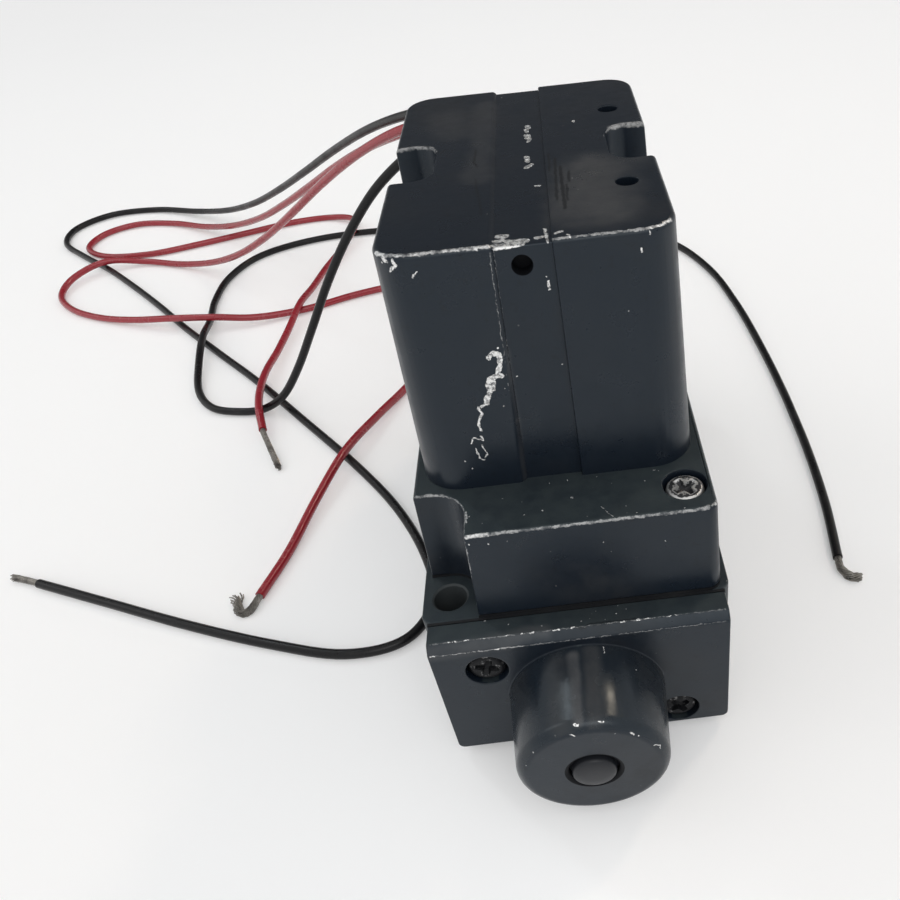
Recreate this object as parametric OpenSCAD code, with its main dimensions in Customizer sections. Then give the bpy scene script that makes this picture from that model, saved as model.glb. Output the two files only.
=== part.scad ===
// Double-solenoid, pilot-operated spool valve for mounting on a ported base.
// Millimetres. X is the width, Y the length along the spool, Z up.
// The origin is the middle of the mounting face. The near end is the -Y end.

/* [Valve body] */
// Width of the valve body
body_w = 50; // [49:0.5:56]
// Length of the valve body between its end faces
body_l = 89; // [88:0.5:100]
// Height of the valve body
body_h = 29.5; // [29:0.5:34]
// Radius of the body's upright corners
body_corner_r = 2; // [1:0.25:3]
// Height of the spool's axis above the mounting face
spool_z = 13.7; // [13.4:0.1:15]
// Mounting hole's centre, measured in from the side
mount_inset_x = 4.5; // [4:0.1:4.6]
// Mounting hole's centre, measured in from the end face
mount_inset_y = 5.2; // [4.8:0.1:6]
// Diameter of the two mounting holes
mount_d = 5.5; // [5:0.1:5.8]
// Chamfer round a mounting hole's mouth
mount_mouth = 0.3; // [0.1:0.1:0.5]
// Diameter of the five ports in the mounting face
port_d = 8; // [6:0.5:8.5]
// Distance from port to port along the body
port_pitch = 12; // [11.8:0.1:12.4]
// Width of the ring groove round the spool at each port
groove_w = 6; // [5.6:0.1:6.4]
// Diameter of the ring grooves
groove_d = 14; // [13:0.25:14.5]
// Diameter of the pilot passages
pilot_d = 2.5; // [2:0.1:2.6]
// Height of the pilot galleries above the spool's axis
pilot_rise = 8.8; // [8.5:0.1:9]

/* [Gaskets] */
// Thickness of the gaskets under the end caps and the cover
gasket_t = 0.5; // [0.3:0.1:0.8]
// Thickness of the gasket in the mounting face
base_gasket_t = 1.2; // [0.8:0.1:1.6]
// Margin of that gasket round the row of ports
base_gasket_margin = 5; // [3:0.5:6]
// Clearance between a gasket and the recess it lies in
gasket_gap = 0.2; // [0.1:0.05:0.4]

/* [End caps] */
// How far a cap stands in from the body's side
cap_inset = 1; // [0.5:0.1:1.5]
// Height of a cap's lower edge above the mounting face
cap_foot = 2; // [1:0.25:2.5]
// Thickness of a cap's plate
cap_t = 5.2; // [4.6:0.1:6.5]
// Bevel along a cap's upper front edge
cap_bevel = 1.4; // [0.8:0.1:2]
// Diameter of a cap's boss where it leaves the plate
boss_d = 26.2; // [25.8:0.1:26.6]
// How much the boss's radius shrinks along its length
boss_taper = 1; // [0.4:0.1:1.1]
// Length of the boss
boss_l = 14.6; // [14:0.2:18]
// Radius of the boss's rounded front edge
boss_edge_r = 2; // [1:0.25:2.5]
// Thickness of the boss's end wall
boss_end_t = 4.5; // [4.3:0.1:5.5]
// Cap screw's centre, measured in from the cap's side
cap_screw_inset = 8.6; // [8.4:0.1:8.8]
// Upper cap screw's centre below the cap's top
cap_screw_drop = 6.5; // [6:0.1:7]
// Lower cap screw's centre above the cap's lower edge
cap_screw_rise = 4; // [3.8:0.1:4.4]

/* [Screws] */
// Diameter of the screw heads
head_d = 6; // [5.6:0.1:6.2]
// Height of the screw heads
head_h = 2.6; // [2:0.1:3]
// Diameter of the screw shanks
shank_d = 3.4; // [3:0.1:3.5]
// Diameter of the counterbores
counterbore_d = 6.8; // [6.6:0.1:7]
// How far a screw head lies below the face round it
head_sink = 0.5; // [0.2:0.1:1]
// How far a screw reaches into the body
thread_l = 8; // [6:0.5:10]
// Room past the end of a screw in its hole
screw_end_gap = 1; // [0.5:0.1:2]
// Clearance round a screw in its hole
screw_gap = 0.1; // [0.05:0.05:0.2]
// Width of the cross recess in a screw head
recess_w = 0.9; // [0.6:0.1:1.2]
// Span of the cross recess
recess_span = 3.4; // [2.8:0.1:4]
// Depth of the cross recess
recess_depth = 1.2; // [0.8:0.1:1.6]

/* [Spool and pistons] */
// Diameter of the spool's lands
spool_d = 12; // [11:0.25:12.5]
// Diameter of the spool between its lands
neck_d = 7; // [6:0.25:8]
// Travel of the spool
stroke = 4; // [3.6:0.1:4.2]
// Length of each working land
land_l = 3; // [2.6:0.1:3.2]
// Length of each end land
end_land_l = 11; // [9:0.5:11.5]
// Working lands' lap over the edges of the ring grooves
land_lap = 0.5; // [0.3:0.1:0.6]
// Distance from the body's end to the end land
end_land_inset = 1.5; // [1:0.25:2]
// Diameter of the pilot pistons' bore
piston_bore_d = 21; // [20:0.25:21.5]
// Length of a piston
piston_l = 8; // [6:0.25:8.5]
// Radial clearance of what slides
slide_gap = 0.04; // [0.02:0.01:0.08]
// Thickness of the spool's and pistons' seal rings
seal_t = 1.6; // [1.2:0.1:2]
// Clearance of a seal ring in its groove
seal_gap = 0.1; // [0.05:0.05:0.2]

/* [Override buttons] */
// Diameter of a button
button_d = 7.8; // [7:0.1:8.2]
// Radial clearance round a button
button_gap = 0.1; // [0.06:0.02:0.14]
// How far a button stands out when it is out
button_proud = 1; // [0.5:0.1:1.5]
// Diameter of the flange that holds a button in
button_flange_d = 11; // [10:0.25:12]
// Thickness of that flange
button_flange_t = 1.5; // [1:0.1:2]
// Chamfer round the button's hole
button_chamfer = 0.4; // [0.2:0.1:0.6]
// Clearance between a button and its piston
button_seat_gap = 0.1; // [0.05:0.05:0.2]
// Thickness of the seal ring round a button
button_seal_t = 1; // [0.8:0.1:1.2]
// Wall between that ring's groove and the piston's chamber
button_seal_wall = 0.3; // [0.2:0.1:0.5]
// Bevel round a button's face
button_edge = 0.5; // [0.2:0.1:0.8]

/* [Solenoid cover] */
// Height of the cover's flange above the body, with its gasket
flange_h = 17.5; // [16:0.5:20]
// How far the flange's upper edge stands in from the body's side
flange_inset = 1.9; // [1.5:0.1:2.2]
// How much the flange widens towards its foot on each side
flange_draft = 0.6; // [0.3:0.1:1]
// Radius of the flange's upright corners at its top
flange_corner_r = 1.6; // [1.2:0.1:2.5]
// Radius of the flange's rounded upper edge
flange_edge_r = 0.6; // [0.3:0.1:1]
// Width of the tower at its top
tower_w = 40; // [39.5:0.5:42]
// Length of the tower at its top
tower_l = 63.3; // [63:0.1:66]
// Height of the tower above the flange
tower_h = 38; // [32:0.5:50]
// How much the tower widens towards its foot on each side
tower_draft = 1.45; // [0.8:0.05:1.6]
// Radius of the tower's upright corners at its top
tower_corner_r = 5; // [3:0.25:6]
// Radius of the tower's rounded upper edge
tower_edge_r = 0.8; // [0.3:0.1:1.5]
// Wall thickness of the tower at its top
cover_wall = 3; // [2:0.1:3]
// Distance from the waist notch's side to the nearer coil's axis
notch_side = 8.5; // [8.3:0.1:9.5]
// Depth of the waist notch
notch_depth = 6.7; // [5:0.1:6.9]
// Radius of the waist notch's inner corners
notch_r = 3.5; // [2:0.25:4]
// Wall thickness round the waist notch
waist_wall = 2.2; // [1.6:0.1:2.3]
// Least radius of the cover's corners inside
inside_r = 1; // [0.6:0.1:1.4]
// Width of the shallow channel over the tower, at the top
channel_w = 8; // [6:0.5:10]
// How far the channel's middle stands to the left of the tower's
channel_offset = 0.5; // [0:0.1:1]
// Depth of that channel in the end faces
channel_depth = 0.9; // [0.5:0.1:1.2]
// Depth of that channel in the top face
channel_top_depth = 0.5; // [0.3:0.1:1]
// Diameter of the hole in the channel
channel_hole_d = 2.7; // [2:0.1:3.5]
// Centre of that hole to the left of the tower's middle
channel_hole_offset = 0.7; // [0:0.1:1.5]
// Centre of that hole below the tower's top
channel_hole_drop = 3.2; // [2.8:0.1:5]
// Depth of that hole
channel_hole_depth = 2; // [1:0.1:2]
// Diameter of the vent over each coil
vent_d = 3.2; // [2.5:0.1:4]
// Vent's centre, measured in from the tower's side
vent_inset = 5.2; // [4.9:0.1:6]
// Cover screw's centre, measured in from the body's side
cover_screw_inset_x = 6.1; // [5.8:0.1:6.4]
// Cover screw's centre, measured in from the body's end
cover_screw_inset_y = 6.6; // [6:0.1:7]
// Radius of the corner pocket round the mounting hole, at its foot
pocket_r = 4.8; // [4.2:0.1:5.2]
// How much the pocket widens towards its top
pocket_draft = 0.9; // [0.4:0.1:1.1]

/* [Pilot plate] */
// Thickness of the pilot plate
pilot_plate_t = 8; // [7:0.25:9]
// Clearance between the pilot plate and the cover
pilot_plate_gap = 0.4; // [0.3:0.05:0.6]
// Diameter of the pilot plate's screws
plate_screw_d = 2.6; // [2:0.1:3]
// Diameter of those screws' heads
plate_head_d = 5; // [4.5:0.1:5.2]
// Height of those screws' heads
plate_head_h = 2.4; // [2:0.1:3]
// Pilot plate screw's centre, measured in from the plate's edges
plate_screw_inset = 3.2; // [3:0.1:3.4]
// Diameter of a pilot seat
seat_d = 5; // [4.5:0.1:6]
// Diameter of the pilot seat's nozzle
nozzle_d = 3; // [2.4:0.1:3.4]
// Height of the pilot seat's nozzle
nozzle_h = 1.5; // [1.2:0.1:1.8]
// Diameter of the pilot seat's orifice
orifice_d = 1.2; // [0.8:0.1:1.6]

/* [Solenoids] */
// Clearance between a bobbin and the cover's end wall
coil_end_gap = 1.35; // [1.2:0.05:1.6]
// Outer diameter of a winding
winding_d = 22.4; // [20:0.2:22.6]
// Outer diameter of a bobbin
bobbin_d = 23.6; // [23:0.1:23.8]
// Height of a bobbin
bobbin_h = 25; // [20:0.5:28]
// Thickness of a bobbin's flanges and tube
bobbin_t = 1; // [0.8:0.1:1.2]
// Thickness of a solenoid's steel frame
frame_t = 2.2; // [1.8:0.1:2.4]
// Width of a solenoid's steel frame
frame_w = 12; // [10:0.25:12.2]
// Outer diameter of a core tube
tube_d = 9; // [8.6:0.1:9.4]
// Wall thickness of a core tube
tube_t = 0.5; // [0.4:0.05:0.6]
// Clearance between the solenoids' nested pieces
coil_gap = 0.1; // [0.05:0.05:0.2]
// Depth of the core tube's seat in the pilot plate
tube_seat = 4.4; // [4:0.1:5]
// Lift of an armature
armature_lift = 1.5; // [1:0.1:1.7]
// Gap left between a lifted armature and its pole piece
pole_gap = 0.2; // [0.1:0.05:0.4]
// Length of an armature
armature_l = 20; // [17:0.5:22]
// Diameter of an armature's poppet
poppet_d = 5; // [4.4:0.1:5.4]
// Thickness of the poppet inside the armature
poppet_t = 1.5; // [1:0.1:2]
// How far the poppet stands out of the armature
poppet_proud = 0.7; // [0.5:0.1:0.8]
// Diameter of a return spring
spring_d = 4.2; // [3.6:0.1:4.6]
// Diameter of the return spring's wire
spring_wire_d = 0.5; // [0.4:0.05:0.6]
// Depth of the return spring's pocket in the armature
spring_pocket = 8; // [6:0.25:9]
// Turns of a return spring
spring_turns = 6; // [4:1:8]
// Width of a coil nut across its flats
nut_w = 13; // [12:0.25:14]
// Height of a coil nut
nut_h = 4; // [3:0.25:5]
// How far a core tube stands out of its nut
tube_proud = 0.5; // [0.3:0.1:1]

/* [Leads] */
// Diameter of a lead over its insulation
lead_d = 2.1; // [1.8:0.1:2.3]
// Diameter of a lead's bare conductor
conductor_d = 1.2; // [0.9:0.1:1.4]
// Distance between the leads in the grommet
lead_pitch = 2.6; // [2.5:0.1:2.8]
// Grommet's centre, measured to the left of the tower's middle
grommet_offset = 9.8; // [9.6:0.1:10]
// Grommet's centre below the tower's top
grommet_drop = 9.5; // [9:0.1:12]
// Diameter of the grommet's barrel
grommet_d = 8.6; // [8:0.1:9]
// Diameter of the grommet's flange
grommet_flange_d = 11; // [10.4:0.1:11.2]
// Thickness of the grommet's flange
grommet_flange_t = 2.2; // [1.8:0.1:2.6]
// Clearance round the grommet's barrel
grommet_gap = 0.05; // [0.02:0.01:0.1]
// Depth of the flat that the grommet's flange lies on
spot_depth = 0.05; // [0.02:0.01:0.1]
// Clearance round the grommet's flange
spot_gap = 0.3; // [0.1:0.1:0.4]
// Clearance of a lead over the table and over another lead
lead_clear = 0.1; // [0.05:0.05:0.2]

/* [Hidden] */
$fn = 48;
// Overlap of a cut past the face it starts from
over = 1;

// Places worked out from the sizes above
body_end_y = body_l / 2;
mount_x = body_w / 2 - mount_inset_x;
mount_y = body_end_y - mount_inset_y;
flange_top_z = body_h + flange_h;
tower_top_z = flange_top_z + tower_h;
cover_foot_z = body_h + gasket_t;
cap_w = body_w - 2 * cap_inset;
cap_h = body_h - cap_foot;
cap_back_y = body_end_y + gasket_t;
cap_front_y = cap_back_y + cap_t;
boss_end_y = cap_front_y + boss_l;
chamber_end_y = boss_end_y - boss_end_t;
cap_screw_x = cap_w / 2 - cap_screw_inset;
cap_screw_places = [[-cap_screw_x, body_h - cap_screw_drop], [cap_screw_x, cap_foot + cap_screw_rise]];
cover_screw_x = body_w / 2 - cover_screw_inset_x;
cover_screw_y = body_end_y - cover_screw_inset_y;
// Turn from one flat of an eased edge to the next, and the grid that its corners lie on
ease_turn = 22.5;
grid_step = 0.001;
flange_w = body_w - 2 * flange_inset;
flange_l = body_l - 2 * flange_draft;
ceiling_z = tower_top_z - cover_wall;
cavity_w = tower_w - 2 * cover_wall;
cavity_l = tower_l - 2 * cover_wall;
coil_y = cavity_l / 2 - bobbin_d / 2 - coil_end_gap;
notch_w = 2 * (coil_y - notch_side);
cavity_r = max(tower_corner_r - cover_wall, inside_r);
notch_x = tower_w / 2 - notch_depth;
waist_x = notch_x - waist_wall;
waist_half_w = notch_w / 2 + waist_wall;

// Heights of the pilot plate and the solenoids
plate_top_z = cover_foot_z + pilot_plate_t;
plate_w = cavity_w - 2 * pilot_plate_gap;
plate_l = cavity_l - 2 * pilot_plate_gap;
plate_screw_x = plate_w / 2 - plate_screw_inset;
plate_screw_y = plate_l / 2 - plate_screw_inset;
tube_foot_z = plate_top_z - tube_seat;
nozzle_top_z = tube_foot_z + nozzle_h;
poppet_foot_z = nozzle_top_z + coil_gap;
armature_foot_z = poppet_foot_z + poppet_proud;
armature_top_z = armature_foot_z + armature_l;
pole_foot_z = armature_top_z + armature_lift + pole_gap;
bobbin_foot_z = plate_top_z + frame_t;
frame_top_z = bobbin_foot_z + bobbin_h;
nut_foot_z = frame_top_z + frame_t;
tube_top_z = nut_foot_z + nut_h + tube_proud;
tube_bore_d = tube_d - 2 * tube_t;
armature_d = tube_bore_d - 2 * coil_gap;
bobbin_bore_d = tube_d + 2 * coil_gap;
bobbin_tube_d = bobbin_bore_d + 2 * bobbin_t;
frame_back_x = bobbin_d / 2 + 3 * coil_gap;
frame_front_x = bobbin_d / 2 - bobbin_t;

// Places of the spool, the pistons and the override buttons at rest
button_l = boss_end_t + button_proud;
near_flange_y = -chamber_end_y;
far_flange_y = chamber_end_y - stroke;
near_piston_y = near_flange_y + button_flange_t + button_seat_gap;
far_piston_y = far_flange_y - button_flange_t - button_seat_gap;
spool_near_y = near_piston_y + piston_l;
spool_far_y = far_piston_y - piston_l;
piston_d = piston_bore_d - 2 * slide_gap;
spool_bore_d = spool_d + 2 * slide_gap;
land_starts = [for (edge = [-port_pitch - groove_w / 2, -port_pitch + groove_w / 2,
                            port_pitch - groove_w / 2, port_pitch + groove_w / 2])
               edge - land_lap - land_l];
near_end_land_y = -body_end_y + end_land_inset;
far_end_land_y = body_end_y - end_land_inset - stroke - end_land_l;
port_places = [for (i = [-2:2]) i * port_pitch];
button_seal_groove = button_seal_t + 2 * seal_gap;
button_seal_y = chamber_end_y + button_seal_wall + button_seal_groove / 2;

// Course of a return spring
spring_steps = 12;
spring_facets = 6;
spring_foot_z = armature_top_z - spring_pocket + spring_wire_d / 2 + coil_gap;
spring_rise = pole_foot_z - coil_gap - spring_wire_d / 2 - spring_foot_z;
spring_mean_r = (spring_d - spring_wire_d) / 2;
spring_points = [for (i = [0:spring_turns * spring_steps])
                 let (turn = 360 * i / spring_steps)
                 [spring_mean_r * cos(turn), spring_mean_r * sin(turn),
                  spring_foot_z + spring_rise * i / (spring_turns * spring_steps)]];

// Places of the lead exit in the cover's far face
lead_x = -grommet_offset;
lead_z = tower_top_z - grommet_drop;
spot_face_y = tower_l / 2 - spot_depth;
lead_start_y = spot_face_y + grommet_flange_t;
left_lead_x = lead_x - lead_pitch / 2;
right_lead_x = lead_x + lead_pitch / 2;
lower_lead_z = lead_z - lead_pitch / 2;
upper_lead_z = lead_z + lead_pitch / 2;

// Heights of a lead on the table and of one crossing over another
lead_facets = 8;
lead_steps = 2;
lead_rest_z = lead_d / 2 + lead_clear;
lead_layer = lead_d + 3 * lead_clear;
conductor_rest_z = conductor_d / 2 + lead_clear;

// Courses of the leads. Points aloft: place and share of the exit's height.
// Points on the table: place and how far the lead is lifted, 1 being over one other lead.
black_1_air = [[-9.5, 48, 0.997], [-15, 58, 0.971], [-26, 73, 0.913], [-40, 92, 0.807], [-55, 113, 0.663],
               [-71, 134, 0.5], [-87, 154, 0.343], [-103, 173, 0.203], [-120, 192, 0.088],
               [-138, 208, 0.019], [-157, 218, 0.001]];
black_1_table = [[-175, 218, 0.06], [-186, 208, 0.02], [-185, 194, 0.02], [-174, 181, 0.02],
                 [-160, 167, 0.02], [-146, 151, 0.02], [-132, 134, 0.02], [-118, 116, 0.02],
                 [-103, 98, 0.02], [-87, 79, 0.02], [-70, 57, 0.02], [-54, 36, 0.02], [-42, 18, 0.02],
                 [-34, 1, 0.02], [-31, -13, 0.02], [-36, -23, 0.02], [-48, -25, 0.02], [-64, -20, 0.02],
                 [-83, -12, 0.02], [-102, -3, 0.02], [-121, 6, 0.02]];
black_1_bare = [[-125, 7.9, 0.3], [-129, 9.6, 0.05]];
black_2_air = [[-12.9, 45, 0.995], [-18.5, 51.2, 0.97], [-26, 55, 0.908], [-35.5, 57.5, 0.806],
               [-44.5, 59.3, 0.669], [-53, 60.7, 0.511], [-61, 61.8, 0.34], [-68.5, 62.7, 0.183],
               [-75.5, 63.5, 0.066], [-82.5, 64.3, 0.01]];
black_2_table = [[-90, 65.5, 0.02], [-98, 69, 0.02], [-104, 78, 0.06], [-107, 91, 0.56], [-109, 105, 1.02],
                 [-111, 119, 0.15], [-113, 133, 0.02], [-112, 149, 0.02], [-105, 163, 0.02],
                 [-91, 171, 0.02], [-72, 174, 0.02], [-48, 172, 0.02], [-22, 167, 0.02], [3, 161, 0.02],
                 [25, 152, 0.02], [41, 137, 0.02], [50, 116, 0.02], [54, 93, 0.02], [56, 69, 0.02],
                 [57, 45, 0.02], [57, 22, 0.02], [56, 2, 0.02], [54, -15, 0.02]];
black_2_bare = [[53.9, -18.2, 0.3], [55.3, -20.3, 0.1], [57.6, -20.9, 0]];
red_1_air = [[-9.5, 47, 0.997], [-15.5, 57, 0.967], [-27, 71, 0.904], [-40, 88, 0.797], [-54, 106, 0.659],
             [-68, 124, 0.507], [-83, 142, 0.351], [-98, 159, 0.211], [-114, 176, 0.097],
             [-130, 191, 0.024], [-146, 202, 0.001]];
red_1_table = [[-161, 205, 0.06], [-172, 199, 0.02], [-174, 187, 0.02], [-164, 178, 0.02],
               [-147, 176, 0.02], [-130, 180, 0.02], [-114, 185, 0.02], [-98, 190, 0.02], [-84, 191, 0.02],
               [-74, 185, 0.52], [-71, 174, 1.02], [-74, 160, 0.52], [-78, 146, 0.27], [-80, 132, 0.52],
               [-81.5, 119, 1.1], [-83, 106, 0.6], [-84, 93, 0.6], [-84.5, 81, 1.06], [-84, 71, 1.25],
               [-82.5, 62, 1.25], [-80, 53, 0.73]];
red_1_bare = [[-76.6, 45, 1], [-73, 37, 0]];
red_2_air = [[-12.5, 46, 0.995], [-19, 55, 0.96], [-30, 66, 0.893], [-43, 80, 0.778], [-57, 95, 0.63],
             [-71, 110, 0.469], [-86, 125, 0.305], [-101, 139, 0.166], [-116, 152, 0.064],
             [-132, 163, 0.007]];
red_2_table = [[-147, 169, 0.19], [-160, 168, 1.02], [-169, 160, 0.6], [-170, 149, 0.06], [-162, 138, 0.02],
               [-150, 130, 0.02], [-137, 124, 0.44], [-123, 119, 1.1], [-109, 116, 1.25], [-95, 116, 0.52],
               [-80, 120, 0.06], [-65, 126, 0.02], [-50, 129, 0.02], [-37, 125, 0.02], [-30, 113, 0.02],
               [-31, 98, 0.02], [-37, 82, 0.02], [-44, 67, 0.06], [-50, 54, 0.52], [-56, 39, 1.02],
               [-61, 23, 0.52], [-65, 7, 0.06], [-69, -6, 0.02]];
red_2_bare = [[-70.4, -9.6, 0.2], [-72, -10.2, 0], [-73.4, -8.4, 0], [-74.6, -4.4, 0]];
black_path_1 = course([right_lead_x, lead_start_y, upper_lead_z], black_1_air, black_1_table);
black_path_2 = course([left_lead_x, lead_start_y, lower_lead_z], black_2_air, black_2_table);
red_path_1 = course([right_lead_x, lead_start_y, lower_lead_z], red_1_air, red_1_table);
red_path_2 = course([left_lead_x, lead_start_y, upper_lead_z], red_2_air, red_2_table);
// Colours
paint = [0.17, 0.18, 0.21];
aluminium = [0.72, 0.73, 0.75];
acetal = [0.10, 0.10, 0.11];
steel = [0.55, 0.56, 0.58];
brass = [0.78, 0.62, 0.30];
rubber = [0.08, 0.08, 0.08];
gasket_fibre = [0.16, 0.15, 0.14];
copper = [0.72, 0.40, 0.20];
nylon = [0.86, 0.83, 0.74];
red_pvc = [0.72, 0.13, 0.17];
black_pvc = [0.09, 0.09, 0.10];
tinned = [0.78, 0.77, 0.74];

// Block with upright rounded corners, its foot at z = 0
module rounded_block(w, l, h, r) {
    drafted_block(w, l, h, r, 0);
}

// Block w by l at its top, each side leaning out by draft towards its foot at z = 0
module drafted_block(w, l, h, r, draft, edge = 0) {
    core_w = w - 2 * r;
    core_l = l - 2 * r;
    rotate([90, 0, 0])
        translate([0, 0, -core_l / 2])
            linear_extrude(core_l) whole_section(w / 2, h, draft, edge);
    rotate([90, 0, 90])
        translate([0, 0, -core_w / 2])
            linear_extrude(core_w) whole_section(l / 2, h, draft, edge);
    for (sx = [0, 1], sy = [0, 1])
        mirror([sx, 0, 0]) mirror([0, sy, 0])
            translate([core_w / 2, core_l / 2, 0])
                rotate_extrude(angle = 90) half_section(r, h, draft, edge);
}

// Upright section of a drafted block
module whole_section(half, h, draft, edge) {
    half_section(half, h, draft, edge);
    mirror([1, 0]) half_section(half, h, draft, edge);
}

// Right half of that section, its upper edge eased round in flats if edge isn't 0
module half_section(half, h, draft, edge) {
    lean = draft * edge / h;
    eased = edge == 0 ? [[half, h]] : [
        for (turn = [0:ease_turn:90]) [
            half + on_grid(edge * (cos(turn) - 1) + lean * (1 - sin(turn))),
            h - on_grid(edge * (1 - sin(turn)))
        ]
    ];
    polygon(concat([[0, 0], [half + draft, 0]], eased, [[0, h]]));
}

// Length brought to the nearest step of the grid, so that touching pieces share their corners
function on_grid(length) = round(length / grid_step) * grid_step;

// Turns what stands along Z to lie along Y
module along_y() {
    rotate([-90, 0, 0]) children();
}

// Round bar along Y from one place to another, on the given axis
module bar_y(d, from, to, x = 0, z = spool_z) {
    translate([x, from, z]) along_y() cylinder(d = d, h = to - from);
}

// Seal ring lying in the XY plane round the Z axis
module seal_ring(inner_d, t) {
    rotate_extrude() translate([(inner_d + t) / 2, 0]) circle(d = t, $fn = 24);
}

// Places its children at both ends, the far ones turned half round
module both_ends() {
    children();
    rotate([0, 0, 180]) children();
}

// Cap screw holes or screws, at the near end
module at_cap_screws() {
    for (p = cap_screw_places)
        translate([p[0], 0, p[1]]) children();
}

// Pilot plate screw holes or screws
module at_plate_screws() {
    for (x = [-plate_screw_x, plate_screw_x], y = [-plate_screw_y, plate_screw_y])
        translate([x, y, 0]) children();
}

// Screw along Z with its head's top at z = 0 and its shank downwards
module cross_screw(length, d = shank_d, top_d = head_d, top_h = head_h) {
    difference() {
        translate([0, 0, -top_h]) cylinder(d = top_d, h = top_h);
        for (turn = [0, 90])
            rotate([0, 0, turn])
                translate([-recess_span / 2, -recess_w / 2, -recess_depth])
                    cube([recess_span, recess_w, recess_depth + over]);
    }
    translate([0, 0, -top_h - length]) cylinder(d = d, h = length + over / 2);
}

// Casting that holds the spool, with ports in its mounting face
module valve_body() {
    hole_l = thread_l + screw_end_gap;
    color(paint) difference() {
        rounded_block(body_w, body_l, body_h, body_corner_r);
        bar_y(spool_bore_d, -body_end_y - over, body_end_y + over);
        for (y = port_places) {
            bar_y(groove_d, y - groove_w / 2, y + groove_w / 2);
            translate([0, y, -over]) cylinder(d = port_d, h = spool_z + over);
        }
        base_recess();
        both_ends() {
            mount_hole();
            pilot_passage();
            at_cap_screws()
                bar_y(shank_d + 2 * screw_gap, -body_end_y - over, -body_end_y + hole_l, 0, 0);
            translate([cover_screw_x, -cover_screw_y, body_h - hole_l])
                cylinder(d = shank_d + 2 * screw_gap, h = hole_l + over);
        }
        at_plate_screws()
            translate([0, 0, body_h - hole_l])
                cylinder(d = plate_screw_d + 2 * screw_gap, h = hole_l + over);
    }
}

// Mounting hole with a chamfered mouth, in the near left corner
module mount_hole() {
    translate([-mount_x, -mount_y, -over]) cylinder(d = mount_d, h = body_h + 2 * over);
    translate([-mount_x, -mount_y, body_h - mount_mouth])
        cylinder(d1 = mount_d, d2 = mount_d + 4 * mount_mouth, h = 2 * mount_mouth);
}

// Passage from the near pilot seat down and out to the near piston
module pilot_passage() {
    pilot_z = spool_z + pilot_rise;
    bar_y(pilot_d, -body_end_y - over, -coil_y, 0, pilot_z);
    translate([0, -coil_y, pilot_z]) cylinder(d = pilot_d, h = body_h - pilot_z + over);
}

// Block round the row of ports, grown on every side
module base_outline(h, grow) {
    w = port_d + 2 * base_gasket_margin + 2 * grow;
    l = 4 * port_pitch + port_d + 2 * base_gasket_margin + 2 * grow;
    rounded_block(w, l, h, port_d / 2 + grow);
}

// Recess for the gasket in the mounting face
module base_recess() {
    translate([0, 0, -over]) base_outline(base_gasket_t + over, gasket_gap);
}

// Rubber gasket in the mounting face
module base_gasket() {
    color(rubber) difference() {
        base_outline(base_gasket_t, 0);
        for (y = port_places)
            translate([0, y, -over]) cylinder(d = port_d, h = base_gasket_t + 2 * over);
    }
}

// End cap at the near end: a bevelled plate, a tapered boss and the piston's chamber
module end_cap() {
    difference() {
        union() {
            cap_plate();
            translate([0, -cap_front_y, spool_z]) rotate([90, 0, 0]) boss();
        }
        bar_y(piston_bore_d, -chamber_end_y, -cap_back_y + over);
        bar_y(button_d + 2 * button_gap, -boss_end_y - over, -chamber_end_y + over);
        button_mouth();
        bar_y(button_d + 2 * button_gap + 2 * button_seal_t, -button_seal_y - button_seal_groove / 2,
              -button_seal_y + button_seal_groove / 2);
        at_cap_screws() {
            bar_y(shank_d + 2 * screw_gap, -cap_front_y - over, -cap_back_y + over, 0, 0);
            bar_y(counterbore_d, -cap_front_y - over, -cap_front_y + head_sink + head_h, 0, 0);
        }
    }
}

// Chamfer round a button's hole
module button_mouth() {
    r = button_d / 2 + button_gap;
    translate([0, -boss_end_y + button_chamfer, spool_z]) rotate([90, 0, 0])
        cylinder(r1 = r, r2 = r + 2 * button_chamfer, h = 2 * button_chamfer);
}

// Plate of the near cap, with its upper front edge bevelled
module cap_plate() {
    translate([-cap_w / 2, 0, 0]) rotate([90, 0, 90])
        linear_extrude(cap_w)
            polygon([[-cap_back_y, cap_foot], [-cap_back_y, body_h], [-cap_front_y + cap_bevel, body_h],
                     [-cap_front_y, body_h - cap_bevel], [-cap_front_y, cap_foot]]);
}

// Tapered boss standing along Z, with a rounded front edge
module boss() {
    end_r = boss_d / 2 - boss_taper;
    edge_z = boss_l - boss_edge_r;
    edge_r = boss_d / 2 - boss_taper * edge_z / boss_l;
    translate([0, 0, -over]) cylinder(d = boss_d, h = over);
    rotate_extrude() {
        polygon([[0, 0], [boss_d / 2, 0], [edge_r, edge_z], [0, edge_z]]);
        square([edge_r - boss_edge_r, boss_l]);
        translate([edge_r - boss_edge_r, edge_z]) intersection() {
            circle(r = boss_edge_r);
            square(boss_edge_r);
        }
    }
}

module near_end_cap() {
    color(paint) end_cap();
}

module far_end_cap() {
    color(paint) rotate([0, 0, 180]) end_cap();
}

// Flat gaskets between the caps and the body
module cap_gaskets() {
    color(gasket_fibre) both_ends() difference() {
        translate([-cap_w / 2, -cap_back_y, cap_foot]) cube([cap_w, gasket_t, cap_h]);
        bar_y(piston_bore_d, -cap_back_y - over, -body_end_y + over);
        at_cap_screws() bar_y(shank_d + 2 * screw_gap, -cap_back_y - over, -body_end_y + over, 0, 0);
    }
}

// Screws that hold the end caps
module cap_screws() {
    reach = cap_t - head_sink - head_h + gasket_t + thread_l;
    color(steel) both_ends() at_cap_screws()
        translate([0, -cap_front_y + head_sink, 0]) rotate([90, 0, 0]) cross_screw(reach);
}

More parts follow.
